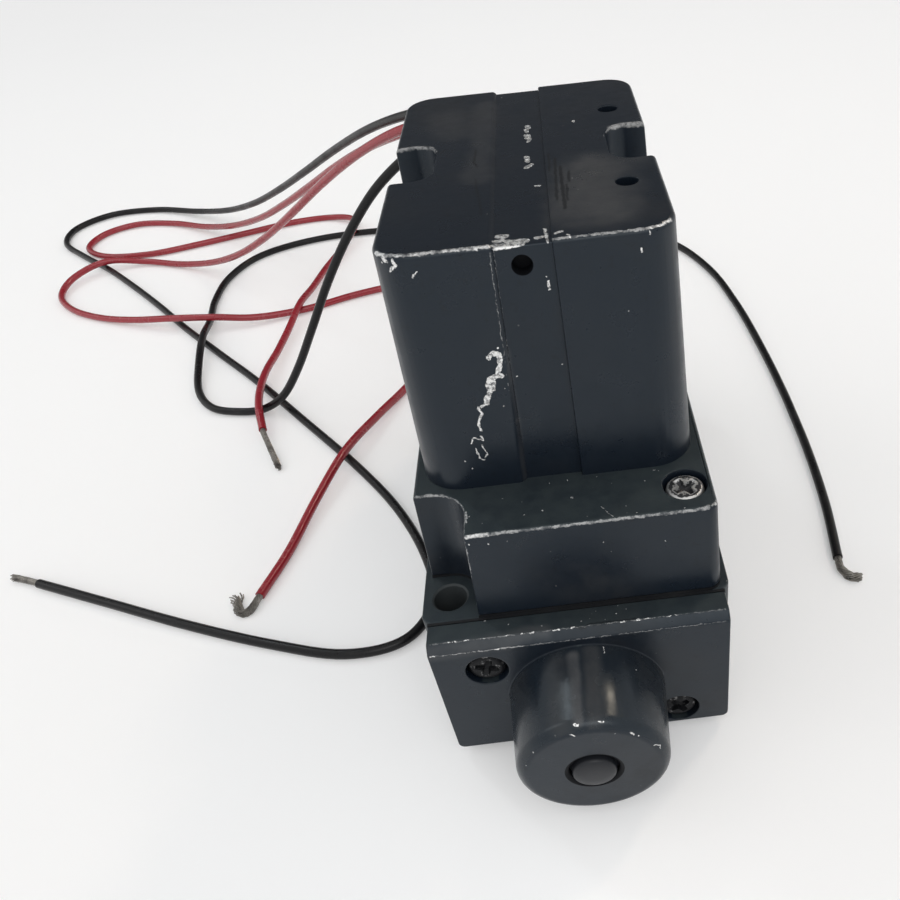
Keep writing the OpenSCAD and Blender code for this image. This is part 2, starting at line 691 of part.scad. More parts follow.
// Spool with four working lands and two end lands
module spool() {
    color(aluminium) difference() {
        union() {
            bar_y(neck_d, spool_near_y, spool_far_y);
            for (y = land_starts)
                bar_y(spool_d, y, y + land_l);
            for (y = [near_end_land_y, far_end_land_y])
                bar_y(spool_d, y, y + end_land_l);
        }
        for (y = [near_end_land_y, far_end_land_y])
            seal_groove(spool_d, y + end_land_l / 2);
    }
}

// Ring groove for a seal in a bar of the given diameter, at a place along Y
module seal_groove(d, y) {
    half = seal_t / 2 + seal_gap;
    difference() {
        bar_y(d + 2 * over, y - half, y + half);
        bar_y(d - 2 * seal_t, y - half - over, y + half + over);
    }
}

// Seal ring in that groove
module fitted_seal(d, y) {
    translate([0, y, spool_z]) along_y() seal_ring(d - 2 * seal_t + 2 * slide_gap, seal_t - slide_gap);
}

module spool_seals() {
    color(rubber)
        for (y = [near_end_land_y, far_end_land_y])
            fitted_seal(spool_d, y + end_land_l / 2);
}

// Pilot piston between two places along Y
module piston(from) {
    difference() {
        bar_y(piston_d, from, from + piston_l);
        seal_groove(piston_d, from + piston_l / 2);
    }
}

module near_piston() {
    color(brass) piston(near_piston_y);
}

module far_piston() {
    color(brass) piston(spool_far_y);
}

module piston_seals() {
    color(rubber)
        for (y = [near_piston_y, spool_far_y])
            fitted_seal(piston_d, y + piston_l / 2);
}

// Override button with its flange's outer face at y = 0, pointing to -Y
module override_button() {
    along_y() cylinder(d = button_flange_d, h = button_flange_t);
    rotate([90, 0, 0]) {
        cylinder(d = button_d, h = button_l - button_edge);
        translate([0, 0, button_l - button_edge])
            cylinder(d1 = button_d, d2 = button_d - 2 * button_edge, h = button_edge);
    }
}

module near_override_button() {
    color(acetal) translate([0, near_flange_y, spool_z]) override_button();
}

module far_override_button() {
    color(acetal) translate([0, far_flange_y, spool_z]) rotate([0, 0, 180]) override_button();
}

// Seal rings round the buttons, in the boss ends
module button_seals() {
    inner_d = button_d + 2 * slide_gap;
    color(rubber)
        for (y = [-button_seal_y, button_seal_y])
            translate([0, y, spool_z]) along_y() seal_ring(inner_d, button_seal_t);
}

// Cover casting: a long flange and a waisted tower over the two solenoids
module solenoid_cover() {
    color(paint) difference() {
        union() {
            translate([0, 0, cover_foot_z])
                drafted_block(flange_w, flange_l, flange_h - gasket_t, flange_corner_r,
                    flange_draft, flange_edge_r);
            translate([0, 0, flange_top_z])
                drafted_block(tower_w, tower_l, tower_h, tower_corner_r, tower_draft, tower_edge_r);
        }
        cover_cavity();
        waist_notches();
        top_channel();
        both_ends() {
            corner_pocket();
            cover_screw_hole();
            channel_hole();
        }
        for (y = [-coil_y, coil_y])
            translate([tower_w / 2 - vent_inset, y, ceiling_z - over])
                cylinder(d = vent_d, h = cover_wall + 2 * over);
        grommet_hole();
    }
}

// Room inside the cover, narrowed at the waist
module cover_cavity() {
    reach = ceiling_z - cover_foot_z + over;
    translate([0, 0, cover_foot_z - over]) difference() {
        rounded_block(cavity_w, cavity_l, reach, cavity_r);
        for (side = [-1, 1])
            translate([side * (waist_x + cavity_w / 2), 0, -over])
                rounded_block(cavity_w, 2 * waist_half_w, reach + 2 * over, inside_r);
    }
}

// Upright notches between the two coils, one in each side
module waist_notches() {
    for (side = [-1, 1])
        translate([side * (notch_x + tower_w / 2), 0, flange_top_z])
            rounded_block(tower_w, notch_w, tower_h + over, notch_r);
}

// Shallow channel up the front of the tower, over its top and down its back
module top_channel() {
    reach = tower_draft + channel_top_depth + over;
    floor_y = tower_l / 2 - channel_top_depth;
    floor_z = tower_top_z - channel_top_depth;
    difference() {
        union() {
            for (end = [0, 1]) mirror([0, end, 0])
                translate([0, -floor_y, flange_top_z])
                    linear_extrude(tower_h + over) mirror([0, 1]) channel_section(reach);
            translate([0, floor_y + reach, floor_z])
                rotate([90, 0, 0]) linear_extrude(2 * (floor_y + reach)) channel_section(reach);
        }
        channel_core();
    }
}

// Section of the channel from its floor at y = 0 outwards: upright on the right, flared on the left
module channel_section(reach) {
    right_x = channel_w / 2 - channel_offset;
    left_x = channel_top_depth - channel_w / 2 - channel_offset;
    polygon([[left_x, 0], [right_x, 0], [right_x, reach], [left_x - reach, reach]]);
}

// What the channel leaves of the tower, seen along X
module channel_core() {
    core_h = tower_h - channel_top_depth;
    half_top = tower_l / 2 - channel_top_depth;
    half_foot = tower_l / 2 + tower_draft - channel_depth;
    translate([-body_w, 0, flange_top_z]) rotate([90, 0, 90])
        linear_extrude(2 * body_w)
            polygon([[-half_foot, 0], [half_foot, 0], [half_top, core_h], [-half_top, core_h]]);
}

// Pocket in the near left corner of the flange, open round the mounting hole
module corner_pocket() {
    reach = 4 * pocket_r;
    side = 2 * pocket_r + reach;
    translate([-mount_x - reach / 2, -mount_y - reach / 2, flange_top_z + over])
        mirror([0, 0, 1])
            drafted_block(side, side, flange_h + 2 * over, pocket_r, pocket_draft);
}

// Screw hole and counterbore in the near right corner of the flange
module cover_screw_hole() {
    translate([cover_screw_x, -cover_screw_y, 0]) {
        translate([0, 0, body_h]) cylinder(d = shank_d + 2 * screw_gap, h = flange_h + over);
        translate([0, 0, flange_top_z - head_sink - head_h]) cylinder(d = counterbore_d, h = flange_h);
    }
}

// Blind hole in the channel, near the tower's top
module channel_hole() {
    face_y = tower_l / 2 - channel_top_depth;
    bar_y(channel_hole_d, -tower_l / 2 - over, -face_y + channel_hole_depth, -channel_hole_offset,
          tower_top_z - channel_hole_drop);
}

// Hole and spot face for the grommet in the far face
module grommet_hole() {
    bar_y(grommet_d, tower_l / 2 - 2 * cover_wall, tower_l / 2 + tower_draft + over, lead_x, lead_z);
    bar_y(grommet_flange_d + 2 * spot_gap, spot_face_y, tower_l / 2 + tower_draft + over, lead_x, lead_z);
}

// Gasket between the cover and the body
module cover_gasket() {
    color(gasket_fibre) difference() {
        translate([0, 0, body_h])
            rounded_block(flange_w + 2 * flange_draft, flange_l + 2 * flange_draft, gasket_t,
                          flange_corner_r + flange_draft);
        both_ends() {
            corner_pocket();
            translate([cover_screw_x, -cover_screw_y, body_h - over])
                cylinder(d = shank_d + 2 * screw_gap, h = gasket_t + 2 * over);
            translate([0, -coil_y, body_h - over]) cylinder(d = pilot_d, h = gasket_t + 2 * over);
        }
        at_plate_screws()
            translate([0, 0, body_h - over])
                cylinder(d = plate_screw_d + 2 * screw_gap, h = gasket_t + 2 * over);
    }
}

// Screws that hold the cover
module cover_screws() {
    reach = flange_h - head_sink - head_h + thread_l;
    color(steel) both_ends()
        translate([cover_screw_x, -cover_screw_y, flange_top_z - head_sink]) cross_screw(reach);
}

// Plate under the solenoids that carries the pilot seats
module pilot_plate() {
    waist_l = 2 * (waist_half_w + pilot_plate_gap);
    color(aluminium) difference() {
        translate([0, 0, cover_foot_z]) difference() {
            rounded_block(plate_w, plate_l, pilot_plate_t, cavity_r);
            for (side = [-1, 1])
                translate([side * (waist_x - pilot_plate_gap + plate_w / 2), 0, -over])
                    rounded_block(plate_w, waist_l, pilot_plate_t + 2 * over, inside_r);
        }
        for (y = [-coil_y, coil_y])
            translate([0, y, 0]) {
                translate([0, 0, cover_foot_z - over])
                    cylinder(d = seat_d + 2 * slide_gap, h = pilot_plate_t);
                translate([0, 0, tube_foot_z]) cylinder(d = bobbin_bore_d, h = tube_seat + over);
            }
        at_plate_screws()
            translate([0, 0, cover_foot_z - over])
                cylinder(d = plate_screw_d + 2 * screw_gap, h = pilot_plate_t + 2 * over);
    }
}

// Screws that hold the pilot plate
module pilot_plate_screws() {
    reach = pilot_plate_t + gasket_t + thread_l;
    color(steel) at_plate_screws()
        translate([0, 0, plate_top_z + plate_head_h])
            cross_screw(reach, plate_screw_d, plate_head_d, plate_head_h);
}

// Brass seats under the armatures
module pilot_seats() {
    color(brass)
        for (y = [-coil_y, coil_y])
            translate([0, y, cover_foot_z]) difference() {
                union() {
                    cylinder(d = seat_d, h = tube_foot_z - cover_foot_z);
                    cylinder(d = nozzle_d, h = nozzle_top_z - cover_foot_z);
                }
                translate([0, 0, -over]) cylinder(d = orifice_d, h = pilot_plate_t + 2 * over);
            }
}

// Steel strap frame round a bobbin
module coil_frame(y) {
    translate([0, y, 0]) difference() {
        union() {
            for (z = [plate_top_z, frame_top_z])
                translate([-frame_back_x - frame_t, -frame_w / 2, z])
                    cube([frame_back_x + frame_t + frame_front_x, frame_w, frame_t]);
            translate([-frame_back_x - frame_t, -frame_w / 2, plate_top_z])
                cube([frame_t, frame_w, bobbin_h + 2 * frame_t]);
        }
        translate([0, 0, plate_top_z - over])
            cylinder(d = bobbin_bore_d, h = bobbin_h + 2 * frame_t + 2 * over);
    }
}

module near_frame() {
    color(steel) coil_frame(-coil_y);
}

module far_frame() {
    color(steel) coil_frame(coil_y);
}

// Nylon bobbin with a flange at each end
module bobbin(y) {
    color(nylon) translate([0, y, bobbin_foot_z]) difference() {
        union() {
            cylinder(d = bobbin_tube_d, h = bobbin_h);
            for (z = [0, bobbin_h - bobbin_t])
                translate([0, 0, z]) cylinder(d = bobbin_d, h = bobbin_t);
        }
        translate([0, 0, -over]) cylinder(d = bobbin_bore_d, h = bobbin_h + 2 * over);
    }
}

module near_bobbin() {
    bobbin(-coil_y);
}

module far_bobbin() {
    bobbin(coil_y);
}

// Copper winding between a bobbin's flanges
module winding(y) {
    color(copper) translate([0, y, bobbin_foot_z + bobbin_t + coil_gap]) difference() {
        cylinder(d = winding_d, h = bobbin_h - 2 * bobbin_t - 2 * coil_gap);
        translate([0, 0, -over]) cylinder(d = bobbin_tube_d + 2 * coil_gap, h = bobbin_h + 2 * over);
    }
}

module near_winding() {
    winding(-coil_y);
}

module far_winding() {
    winding(coil_y);
}

// Tube that guides an armature
module core_tube(y) {
    color(steel) translate([0, y, tube_foot_z]) difference() {
        cylinder(d = tube_d, h = tube_top_z - tube_foot_z);
        translate([0, 0, -over]) cylinder(d = tube_bore_d, h = tube_top_z - tube_foot_z + 2 * over);
    }
}

module near_core_tube() {
    core_tube(-coil_y);
}

module far_core_tube() {
    core_tube(coil_y);
}

// Fixed pole in the top of a core tube
module pole_piece(y) {
    color(steel) translate([0, y, pole_foot_z])
        cylinder(d = tube_bore_d - 2 * slide_gap, h = tube_top_z - pole_foot_z);
}

module near_pole_piece() {
    pole_piece(-coil_y);
}

module far_pole_piece() {
    pole_piece(coil_y);
}

// Armature with a pocket for its poppet and one for its spring
module armature(y) {
    color(steel) translate([0, y, 0]) difference() {
        translate([0, 0, armature_foot_z]) cylinder(d = armature_d, h = armature_l);
        translate([0, 0, armature_foot_z - over])
            cylinder(d = poppet_d + 2 * slide_gap, h = poppet_t + over);
        translate([0, 0, armature_top_z - spring_pocket])
            cylinder(d = spring_d + 4 * coil_gap, h = spring_pocket + over);
    }
}

module near_armature() {
    armature(-coil_y);
}

module far_armature() {
    armature(coil_y);
}

// Rubber poppet that closes a pilot seat
module poppet(y) {
    color(rubber) translate([0, y, poppet_foot_z]) cylinder(d = poppet_d, h = poppet_proud + poppet_t);
}

module near_poppet() {
    poppet(-coil_y);
}

module far_poppet() {
    poppet(coil_y);
}

// Return spring between an armature and its pole piece
module return_spring(y) {
    color(steel) translate([0, y, 0]) swept_tube(spring_points, spring_wire_d, spring_facets);
}

module near_spring() {
    return_spring(-coil_y);
}

module far_spring() {
    return_spring(coil_y);
}

// Hexagon nuts that hold the frames on the core tubes
module coil_nuts() {
    color(steel)
        for (y = [-coil_y, coil_y])
            translate([0, y, nut_foot_z]) difference() {
                cylinder(d = nut_w / cos(30), h = nut_h, $fn = 6);
                translate([0, 0, -over]) cylinder(d = bobbin_bore_d, h = nut_h + 2 * over);
            }
}

// Rubber grommet that the leads come out of
module lead_grommet() {
    barrel_d = grommet_d - 2 * grommet_gap;
    color(rubber) {
        bar_y(barrel_d, spot_face_y - cover_wall, spot_face_y + grommet_flange_t / 2, lead_x, lead_z);
        translate([lead_x, spot_face_y, lead_z]) along_y()
            cylinder(d1 = grommet_flange_d, d2 = grommet_flange_d - grommet_flange_t, h = grommet_flange_t);
    }
}

// A lead's points as places: straight out of the grommet, down to the table, then along it
function course(exit, air, table) =
    smooth(concat([exit, exit + [0, 2 * lead_d, 0]],
                  [for (p = air) [p[0], p[1], lead_rest_z + (exit[2] - lead_rest_z) * p[2]]],
                  [for (p = table) [p[0], p[1], lead_rest_z + lead_layer * p[2]]]));

// A bare end's points as places, straight on from its lead at first
function bare_course(lead, points) =
    let (end = lead[len(lead) - 1], way = unit(end - lead[len(lead) - 2]))
    concat([end], smooth(concat([end + conductor_d * way],
                                [for (p = points) [p[0], p[1], conductor_rest_z + p[2]]])));

// Smooth curve through points, with the same number of steps from each to the next
function smooth(p) =
    concat([for (i = [0:len(p) - 2], k = [0:lead_steps - 1])
            between(i == 0 ? 2 * p[0] - p[1] : p[i - 1], p[i], p[i + 1],
                    i == len(p) - 2 ? 2 * p[i + 1] - p[i] : p[i + 2], k / lead_steps)],
           [p[len(p) - 1]]);

// Point part of the way from b to c, on the curve that also passes a and d
function between(a, b, c, d, t) =
    (2 * b + (c - a) * t + (2 * a - 5 * b + 4 * c - d) * t ^ 2 + (3 * b - a - 3 * c + d) * t ^ 3) / 2;

module black_lead_1() {
    color(black_pvc) swept_tube(black_path_1, lead_d, lead_facets);
}

module black_lead_2() {
    color(black_pvc) swept_tube(black_path_2, lead_d, lead_facets);
}

module red_lead_1() {
    color(red_pvc) swept_tube(red_path_1, lead_d, lead_facets);
}

module red_lead_2() {
    color(red_pvc) swept_tube(red_path_2, lead_d, lead_facets);
}

// Bare conductors at the leads' free ends
module bare_lead_ends() {
    color(tinned) {
        swept_tube(bare_course(black_path_1, black_1_bare), conductor_d, lead_facets);
        swept_tube(bare_course(black_path_2, black_2_bare), conductor_d, lead_facets);
        swept_tube(bare_course(red_path_1, red_1_bare), conductor_d, lead_facets);
        swept_tube(bare_course(red_path_2, red_2_bare), conductor_d, lead_facets);
    }
}

// Unit vector, and a ring's first direction carried on from the ring before it
function unit(v) = v / norm(v);
function carried(side, tangent) = unit(side - tangent * (side * tangent));

// Directions of the path at its points
function tangents(p) =
    [for (i = [0:len(p) - 1]) unit(p[min(i + 1, len(p) - 1)] - p[max(i - 1, 0)])];

// Side directions that turn as little as they can along the path
function sides(t) =
    [for (i = 0, s = carried(abs(t[0][2]) < 0.9 ? [0, 0, 1] : [1, 0, 0], t[0]); i < len(t);
          i = i + 1, s = i < len(t) ? carried(s, t[i]) : s) s];

// Round tube swept along a path, closed at both ends
module swept_tube(path, d, facets) {
    t = tangents(path);
    s = sides(t);
    rings = len(path);
    points = [for (i = [0:rings - 1], k = [0:facets - 1])
              let (turn = 360 * k / facets)
              path[i] + d / 2 * (cos(turn) * s[i] + sin(turn) * cross(t[i], s[i]))];
    walls = [for (i = [0:rings - 2], k = [0:facets - 1])
             let (a = i * facets + k, b = i * facets + (k + 1) % facets)
             [a, a + facets, b + facets, b]];
    first = [for (k = [0:facets - 1]) k];
    last = [for (k = [facets - 1:-1:0]) (rings - 1) * facets + k];
    polyhedron(points = points, faces = concat(walls, [first, last]));
}

valve_body();
base_gasket();
near_end_cap();
far_end_cap();
cap_gaskets();
cap_screws();
spool();
spool_seals();
near_piston();
far_piston();
piston_seals();
near_override_button();
far_override_button();
button_seals();
solenoid_cover();
cover_gasket();
cover_screws();
pilot_plate();
pilot_plate_screws();
pilot_seats();
near_frame();
far_frame();
near_bobbin();
far_bobbin();
near_winding();
far_winding();
near_core_tube();
far_core_tube();
near_pole_piece();
far_pole_piece();
near_armature();
far_armature();
near_poppet();
far_poppet();
near_spring();
far_spring();
coil_nuts();
lead_grommet();
black_lead_1();
black_lead_2();
red_lead_1();
red_lead_2();
bare_lead_ends();
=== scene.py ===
"""Pneumatic solenoid valve: castings, screws, buttons and leads dressed round the part's frame."""

import functools
import math
import random

import bmesh
import bpy
from bpy.props import FloatProperty, FloatVectorProperty, IntProperty, PointerProperty
from mathutils import Matrix, Vector


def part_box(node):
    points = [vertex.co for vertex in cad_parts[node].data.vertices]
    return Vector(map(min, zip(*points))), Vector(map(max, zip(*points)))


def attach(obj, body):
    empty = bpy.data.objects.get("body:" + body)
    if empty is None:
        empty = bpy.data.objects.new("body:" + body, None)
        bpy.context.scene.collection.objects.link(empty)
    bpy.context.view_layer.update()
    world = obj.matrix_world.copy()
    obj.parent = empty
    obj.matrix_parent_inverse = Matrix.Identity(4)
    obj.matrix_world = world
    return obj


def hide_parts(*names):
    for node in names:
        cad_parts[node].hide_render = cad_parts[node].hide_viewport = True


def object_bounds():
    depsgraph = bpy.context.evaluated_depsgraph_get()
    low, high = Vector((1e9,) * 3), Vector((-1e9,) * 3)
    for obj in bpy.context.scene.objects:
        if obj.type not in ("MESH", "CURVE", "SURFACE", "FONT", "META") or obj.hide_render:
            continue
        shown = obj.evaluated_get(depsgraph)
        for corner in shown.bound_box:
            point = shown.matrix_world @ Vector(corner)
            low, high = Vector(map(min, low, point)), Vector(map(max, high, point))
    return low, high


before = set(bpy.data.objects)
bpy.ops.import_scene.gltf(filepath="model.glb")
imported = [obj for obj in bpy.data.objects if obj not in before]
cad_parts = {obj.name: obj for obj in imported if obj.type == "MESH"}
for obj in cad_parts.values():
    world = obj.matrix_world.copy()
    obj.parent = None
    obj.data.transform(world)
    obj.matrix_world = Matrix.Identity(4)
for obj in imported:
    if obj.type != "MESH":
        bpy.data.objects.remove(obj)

bl_info = {
    "name": "Pneumatic solenoid valve",
    "version": (1, 0, 0),
    "blender": (4, 5, 0),
    "location": "View3D > Sidebar > Valve",
    "description": "Dresses the valve's frame with castings, screws, buttons and leads",
    "category": "Object",
}

CAD_BOX = [list(corner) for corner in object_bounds()]
MM = 0.001

# Camera: the photograph's viewing point, with the frame's own axes for right and down
CAMERA_PLACE = (5.286, -134.747, 132.574)
CAMERA_RIGHT = (0.99285582, -0.09299929, -0.07475594)
CAMERA_DOWN = (-0.11817658, -0.67988821, -0.72373083)
CAMERA_SENSOR = 36.0
IMAGE_SIDE = 900.0
FOCAL_PIXELS = 849.513
IMAGE_CENTRE = (613.23, 519.75)

# Height of a lead's middle where it lies on the table, in mm
LYING_Z = 1.2
# Routes of the leads, in mm, from the grommet to the end of the insulation: a pair lies on the table
ROUTES = {
    "black_lead_1": (
        (-8.5, 33.8, 76.8), (-8.5, 38, 76.8), (-9.5, 48, 76.57), (-15, 58, 74.61), (-26, 73, 70.22),
        (-40, 92, 62.2), (-55, 113, 51.31), (-71, 134, 38.97), (-87, 154, 27.1), (-103, 173, 16.51),
        (-120, 192, 7.81), (-138, 208, 2.59), (-157, 218, 1.23), (-175, 218, 1.29), (-186, 208),
        (-185, 194), (-174, 181), (-160, 167), (-146, 151), (-132, 134), (-118, 116), (-103, 98), (-87, 79),
        (-70, 57), (-54, 36), (-42, 18), (-34, 1), (-31, -13), (-36, -23), (-48, -25), (-64, -20),
        (-83, -12), (-102, -3), (-121, 6)),
    "black_lead_2": (
        (-11.1, 33.8, 74.2), (-11.1, 38, 74.2), (-12.9, 45, 73.83), (-18.5, 51.2, 72.01), (-26, 55, 67.48),
        (-35.5, 57.5, 60.03), (-44.5, 59.3, 50.02), (-53, 60.7, 38.48), (-61, 61.8, 25.99),
        (-68.5, 62.7, 14.52), (-75.5, 63.5, 5.97), (-82.5, 64.3, 1.88), (-90, 65.5), (-98, 69),
        (-104, 78, 1.29), (-107, 91, 2.49), (-109, 105, 3.6), (-111, 119, 1.51), (-113, 133), (-112, 149),
        (-105, 163), (-91, 171), (-72, 174), (-48, 172), (-22, 167), (3, 161), (25, 152), (41, 137),
        (50, 116), (54, 93), (56, 69), (57, 45), (57, 22), (56, 2), (54, -15)),
    "red_lead_1": (
        (-8.5, 33.8, 74.2), (-8.5, 38, 74.2), (-9.5, 47, 73.98), (-15.5, 57, 71.79), (-27, 71, 67.19),
        (-40, 88, 59.37), (-54, 106, 49.29), (-68, 124, 38.19), (-83, 142, 26.79), (-98, 159, 16.56),
        (-114, 176, 8.24), (-130, 191, 2.9), (-146, 202, 1.22), (-161, 205, 1.29), (-172, 199), (-174, 187),
        (-164, 178), (-147, 176), (-130, 180), (-114, 185), (-98, 190), (-84, 191), (-74, 185, 2.4),
        (-71, 174, 3.6), (-74, 160, 2.4), (-78, 146, 1.8), (-80, 132, 2.4), (-81.5, 119, 3.79),
        (-83, 106, 2.59), (-84, 93, 2.59), (-84.5, 81, 3.69), (-84, 71, 4.15), (-82.5, 62, 4.15),
        (-80, 53, 2.9)),
    "red_lead_2": (
        (-11.1, 33.8, 76.8), (-11.1, 38, 76.8), (-12.5, 46, 76.42), (-19, 55, 73.77), (-30, 66, 68.71),
        (-43, 80, 60.01), (-57, 95, 48.81), (-71, 110, 36.63), (-86, 125, 24.22), (-101, 139, 13.71),
        (-116, 152, 5.99), (-132, 163, 1.68), (-147, 169, 1.61), (-160, 168, 3.6), (-169, 160, 2.59),
        (-170, 149, 1.29), (-162, 138), (-150, 130), (-137, 124, 2.21), (-123, 119, 3.79),
        (-109, 116, 4.15), (-95, 116, 2.4), (-80, 120, 1.29), (-65, 126), (-50, 129), (-37, 125),
        (-30, 113), (-31, 98), (-37, 82), (-44, 67, 1.29), (-50, 54, 2.4), (-56, 39, 3.6), (-61, 23, 2.4),
        (-65, 7, 1.29), (-69, -6)),
}
# Bare ends past the insulation, in mm, and how far their strands spread
BARE_ENDS = {
    "black_lead_1": (((-125, 7.9, 1.0), (-129, 9.6, 0.75)), 0.2),
    "black_lead_2": (((53.9, -18.2, 1.0), (55.3, -20.3, 0.8), (57.6, -20.9, 0.7)), 0.5),
    "red_lead_1": (((-76.6, 45, 1.7), (-73, 37, 0.7)), 0.25),
    "red_lead_2": (((-70.4, -9.6, 0.9), (-72, -10.2, 0.7), (-73.4, -8.4, 0.7), (-74.6, -4.4, 0.7)), 0.7),
}

# Bare spots in the paint: half width and places along each, in mm
FRONT_CHIPS = (
    (0.34, ((-7.3, -32.2, 69.4), (-6.7, -32.2, 69.9), (-5.9, -32.2, 69.9), (-5.6, -32.3, 69.0),
            (-6.0, -32.3, 67.9), (-6.3, -32.3, 67.0), (-6.6, -32.4, 66.3))),
    (0.4, ((-6.0, -32.4, 66.3), (-6.6, -32.4, 66.4), (-7.7, -32.4, 65.9), (-8.1, -32.4, 65.0),
           (-7.9, -32.5, 64.0), (-8.5, -32.5, 63.1), (-8.8, -32.5, 62.1))),
    (0.3, ((-7.2, -32.4, 65.4), (-7.4, -32.45, 64.2))),
    (0.2, ((-8.8, -32.5, 62.1), (-10.2, -32.5, 61.3), (-9.8, -32.6, 60.5), (-10.2, -32.6, 59.7),
            (-10.6, -32.6, 58.7), (-10.5, -32.7, 57.5))),
    (0.13, ((-10.7, -32.7, 56.5), (-10.4, -32.8, 55.7), (-11.8, -32.7, 56.4), (-12.3, -32.8, 55.4))),
    (0.1, ((-10.9, -32.8, 54.9), (-10.3, -32.9, 53.3), (-10.9, -32.9, 52.1), (-11.5, -32.9, 52.5),
           (-11.9, -32.8, 54.4))),
    (0.17, ((-5.8, -32.2, 70.7),)),
    (0.17, ((-13.9, -32.9, 52.2),)),
    (0.15, ((-13.0, -33.0, 50.8),)),
    (0.08, ((-6.0, -32.4, 64.2),)),
    (0.08, ((-6.5, -32.6, 61.2),)),
    (0.13, ((-4.5, -31.8, 70.6),)),
    (0.12, ((-4.4, -31.75, 67.9),)),
    (0.14, ((-3.9, -31.68, 65.5),)),
    (0.11, ((2.8, -31.65, 66.6),)),
    (0.18, ((2.3, -31.3, 79.2), (2.4, -31.33, 78.1))),
    (0.13, ((2.2, -31.28, 79.9),)),
    (0.12, ((14.8, -31.75, 82.5), (14.8, -31.76, 82.1))),
    (0.07, ((12.6, -32.07, 73.9),)),
)
RIM_CHIPS = (
    (0.55, ((-3.3, -27.9, 84.5), (-2.5, -28.1, 84.5))),
    (0.55, ((-3.6, -29.3, 84.5), (-3.0, -29.2, 84.5))),
    (0.5, ((-2.2, -29.5, 84.5), (-1.5, -29.8, 84.5))),
    (0.62, ((-0.7, -29.8, 84.5), (0.1, -30.0, 84.5))),
    (0.62, ((-3.8, -30.7, 84.5), (-2.3, -30.6, 84.5), (-0.4, -30.5, 84.5))),
    (0.22, ((2.7, -27.2, 84.5), (3.0, -31.0, 84.5))),
    (0.4, ((1.6, -29.5, 84.5), (2.1, -29.4, 84.5))),
    (0.28, ((4.15, -29.9, 85.0), (4.85, -29.5, 85.0))),
    (0.15, ((5.6, -30.6, 85.0), (5.9, -31.2, 84.8))),
    (0.24, ((-18.3, -30.26, 84.58), (-17.7, -30.9, 84.2))),
    (0.12, ((-18.5, -30.31, 83.94),)),
    (0.2, ((-16.9, -31.23, 84.47), (-16.7, -31.38, 83.85), (-17.5, -31.05, 83.05))),
    (0.12, ((-14.1, -31.73, 82.86), (-14.9, -31.76, 82.06))),
    (0.1, ((16.0, -31.53, 84.6), (16.0, -31.5, 84.2))),
    (0.2, ((16.3, -31.1, 84.85), (17.6, -30.6, 84.85))),
    (0.13, ((17.6, -30.6, 84.85), (19.1, -29.2, 84.7))),
)
TOP_CHIPS = (
    (0.45, ((1.2, 12.5, 84.5), (1.3, 11.6, 84.5))),
    (0.3, ((0.9, 11.0, 84.5), (1.1, 9.6, 84.5))),
    (0.55, ((1.1, 8.3, 84.5), (1.25, 7.0, 84.5))),
    (0.3, ((1.5, 6.6, 84.5), (1.2, 5.4, 84.5))),
    (0.4, ((0.8, -0.9, 84.5), (0.95, -3.0, 84.5))),
    (0.44, ((0.7, -5.4, 84.5), (1.5, -4.3, 84.5))),
    (0.2, ((1.9, -12.6, 84.5), (2.5, -12.6, 84.5))),
    (0.2, ((8.8, 11.4, 85.0), (8.8, 10.5, 85.0))),
    (0.1, ((7.2, -12.5, 85.0),)),
    (0.1, ((7.8, -16.8, 85.0),)),
    (0.15, ((-3.1, 28.8, 84.5),)),
    (0.09, ((-4.9, -21.6, 85.0),)),
)
LEDGE_CHIPS = (
    *((r, ((x, y, 47.0),)) for r, x, y in (
        (0.13, -1.7, -34.1), (0.13, 1.1, -33.9), (0.12, 5.7, -33.9), (0.15, 14.7, -33.9), (0.1, 15.4, -34.2),
        (0.16, 1.6, -38.1), (0.1, -5.8, -40.7), (0.13, -3.0, -40.2), (0.09, -12.0, -41.5), (0.07, 7.9, -35.8),
        (0.09, 9.5, -41.4), (0.09, 11.0, -43.1), (0.1, 18.0, -43.3), (0.07, 4.9, -36.4), (0.08, 12.9, -36.2),
        (0.13, -14.1, -39.6), (0.08, -9.0, -36.4), (0.07, -6.1, -37.8), (0.06, 3.6, -42.6))),
    (0.05, ((5.9, -40.8, 47.0), (6.7, -42.4, 47.0), (7.4, -43.3, 47.0))),
    *((r, ((x, y, z),)) for r, x, y, z in (
        (0.09, 5.5, -44.05, 42.7), (0.08, 6.6, -44.13, 40.6), (0.09, 14.9, -44.1, 41.4),
        (0.13, -11.4, -43.97, 45.1), (0.07, -8.6, -43.96, 45.2), (0.14, -14.3, -43.9, 45.4))),
)
CAP_CHIPS = (
    *((r, ((x, -48.8, 29.46), (x + run, -48.8, 29.46))) for r, x, run in (
        (0.08, -20.4, 1.2), (0.09, -18.1, 0.8), (0.08, -15.3, 0.6), (0.09, -11.6, 0.7), (0.13, -9.0, 0.2),
        (0.15, -7.5, 0.5), (0.14, -3.9, 0.9), (0.11, -1.1, 0.6), (0.12, 6.7, 0.6), (0.15, 9.4, 0.3),
        (0.09, 10.6, 0.9), (0.06, 14.0, 1.5))),
    *((r, ((x, y, 29.5),)) for r, x, y in (
        (0.12, -5.6, -47.7), (0.1, 0.6, -47.7), (0.13, 6.3, -47.0), (0.08, 6.6, -45.4), (0.08, 3.1, -46.1),
        (0.08, -11.0, -46.6), (0.15, -14.8, -45.3), (0.09, 4.4, -48.0), (0.07, 2.0, -47.4),
        (0.08, 7.9, -46.3))),
    (0.15, ((-13.3, -50.15, 28.15), (-12.8, -50.15, 28.1))),
    (0.11, ((-23.5, -50.1, 28.1), (-22.9, -50.15, 28.1))),
)
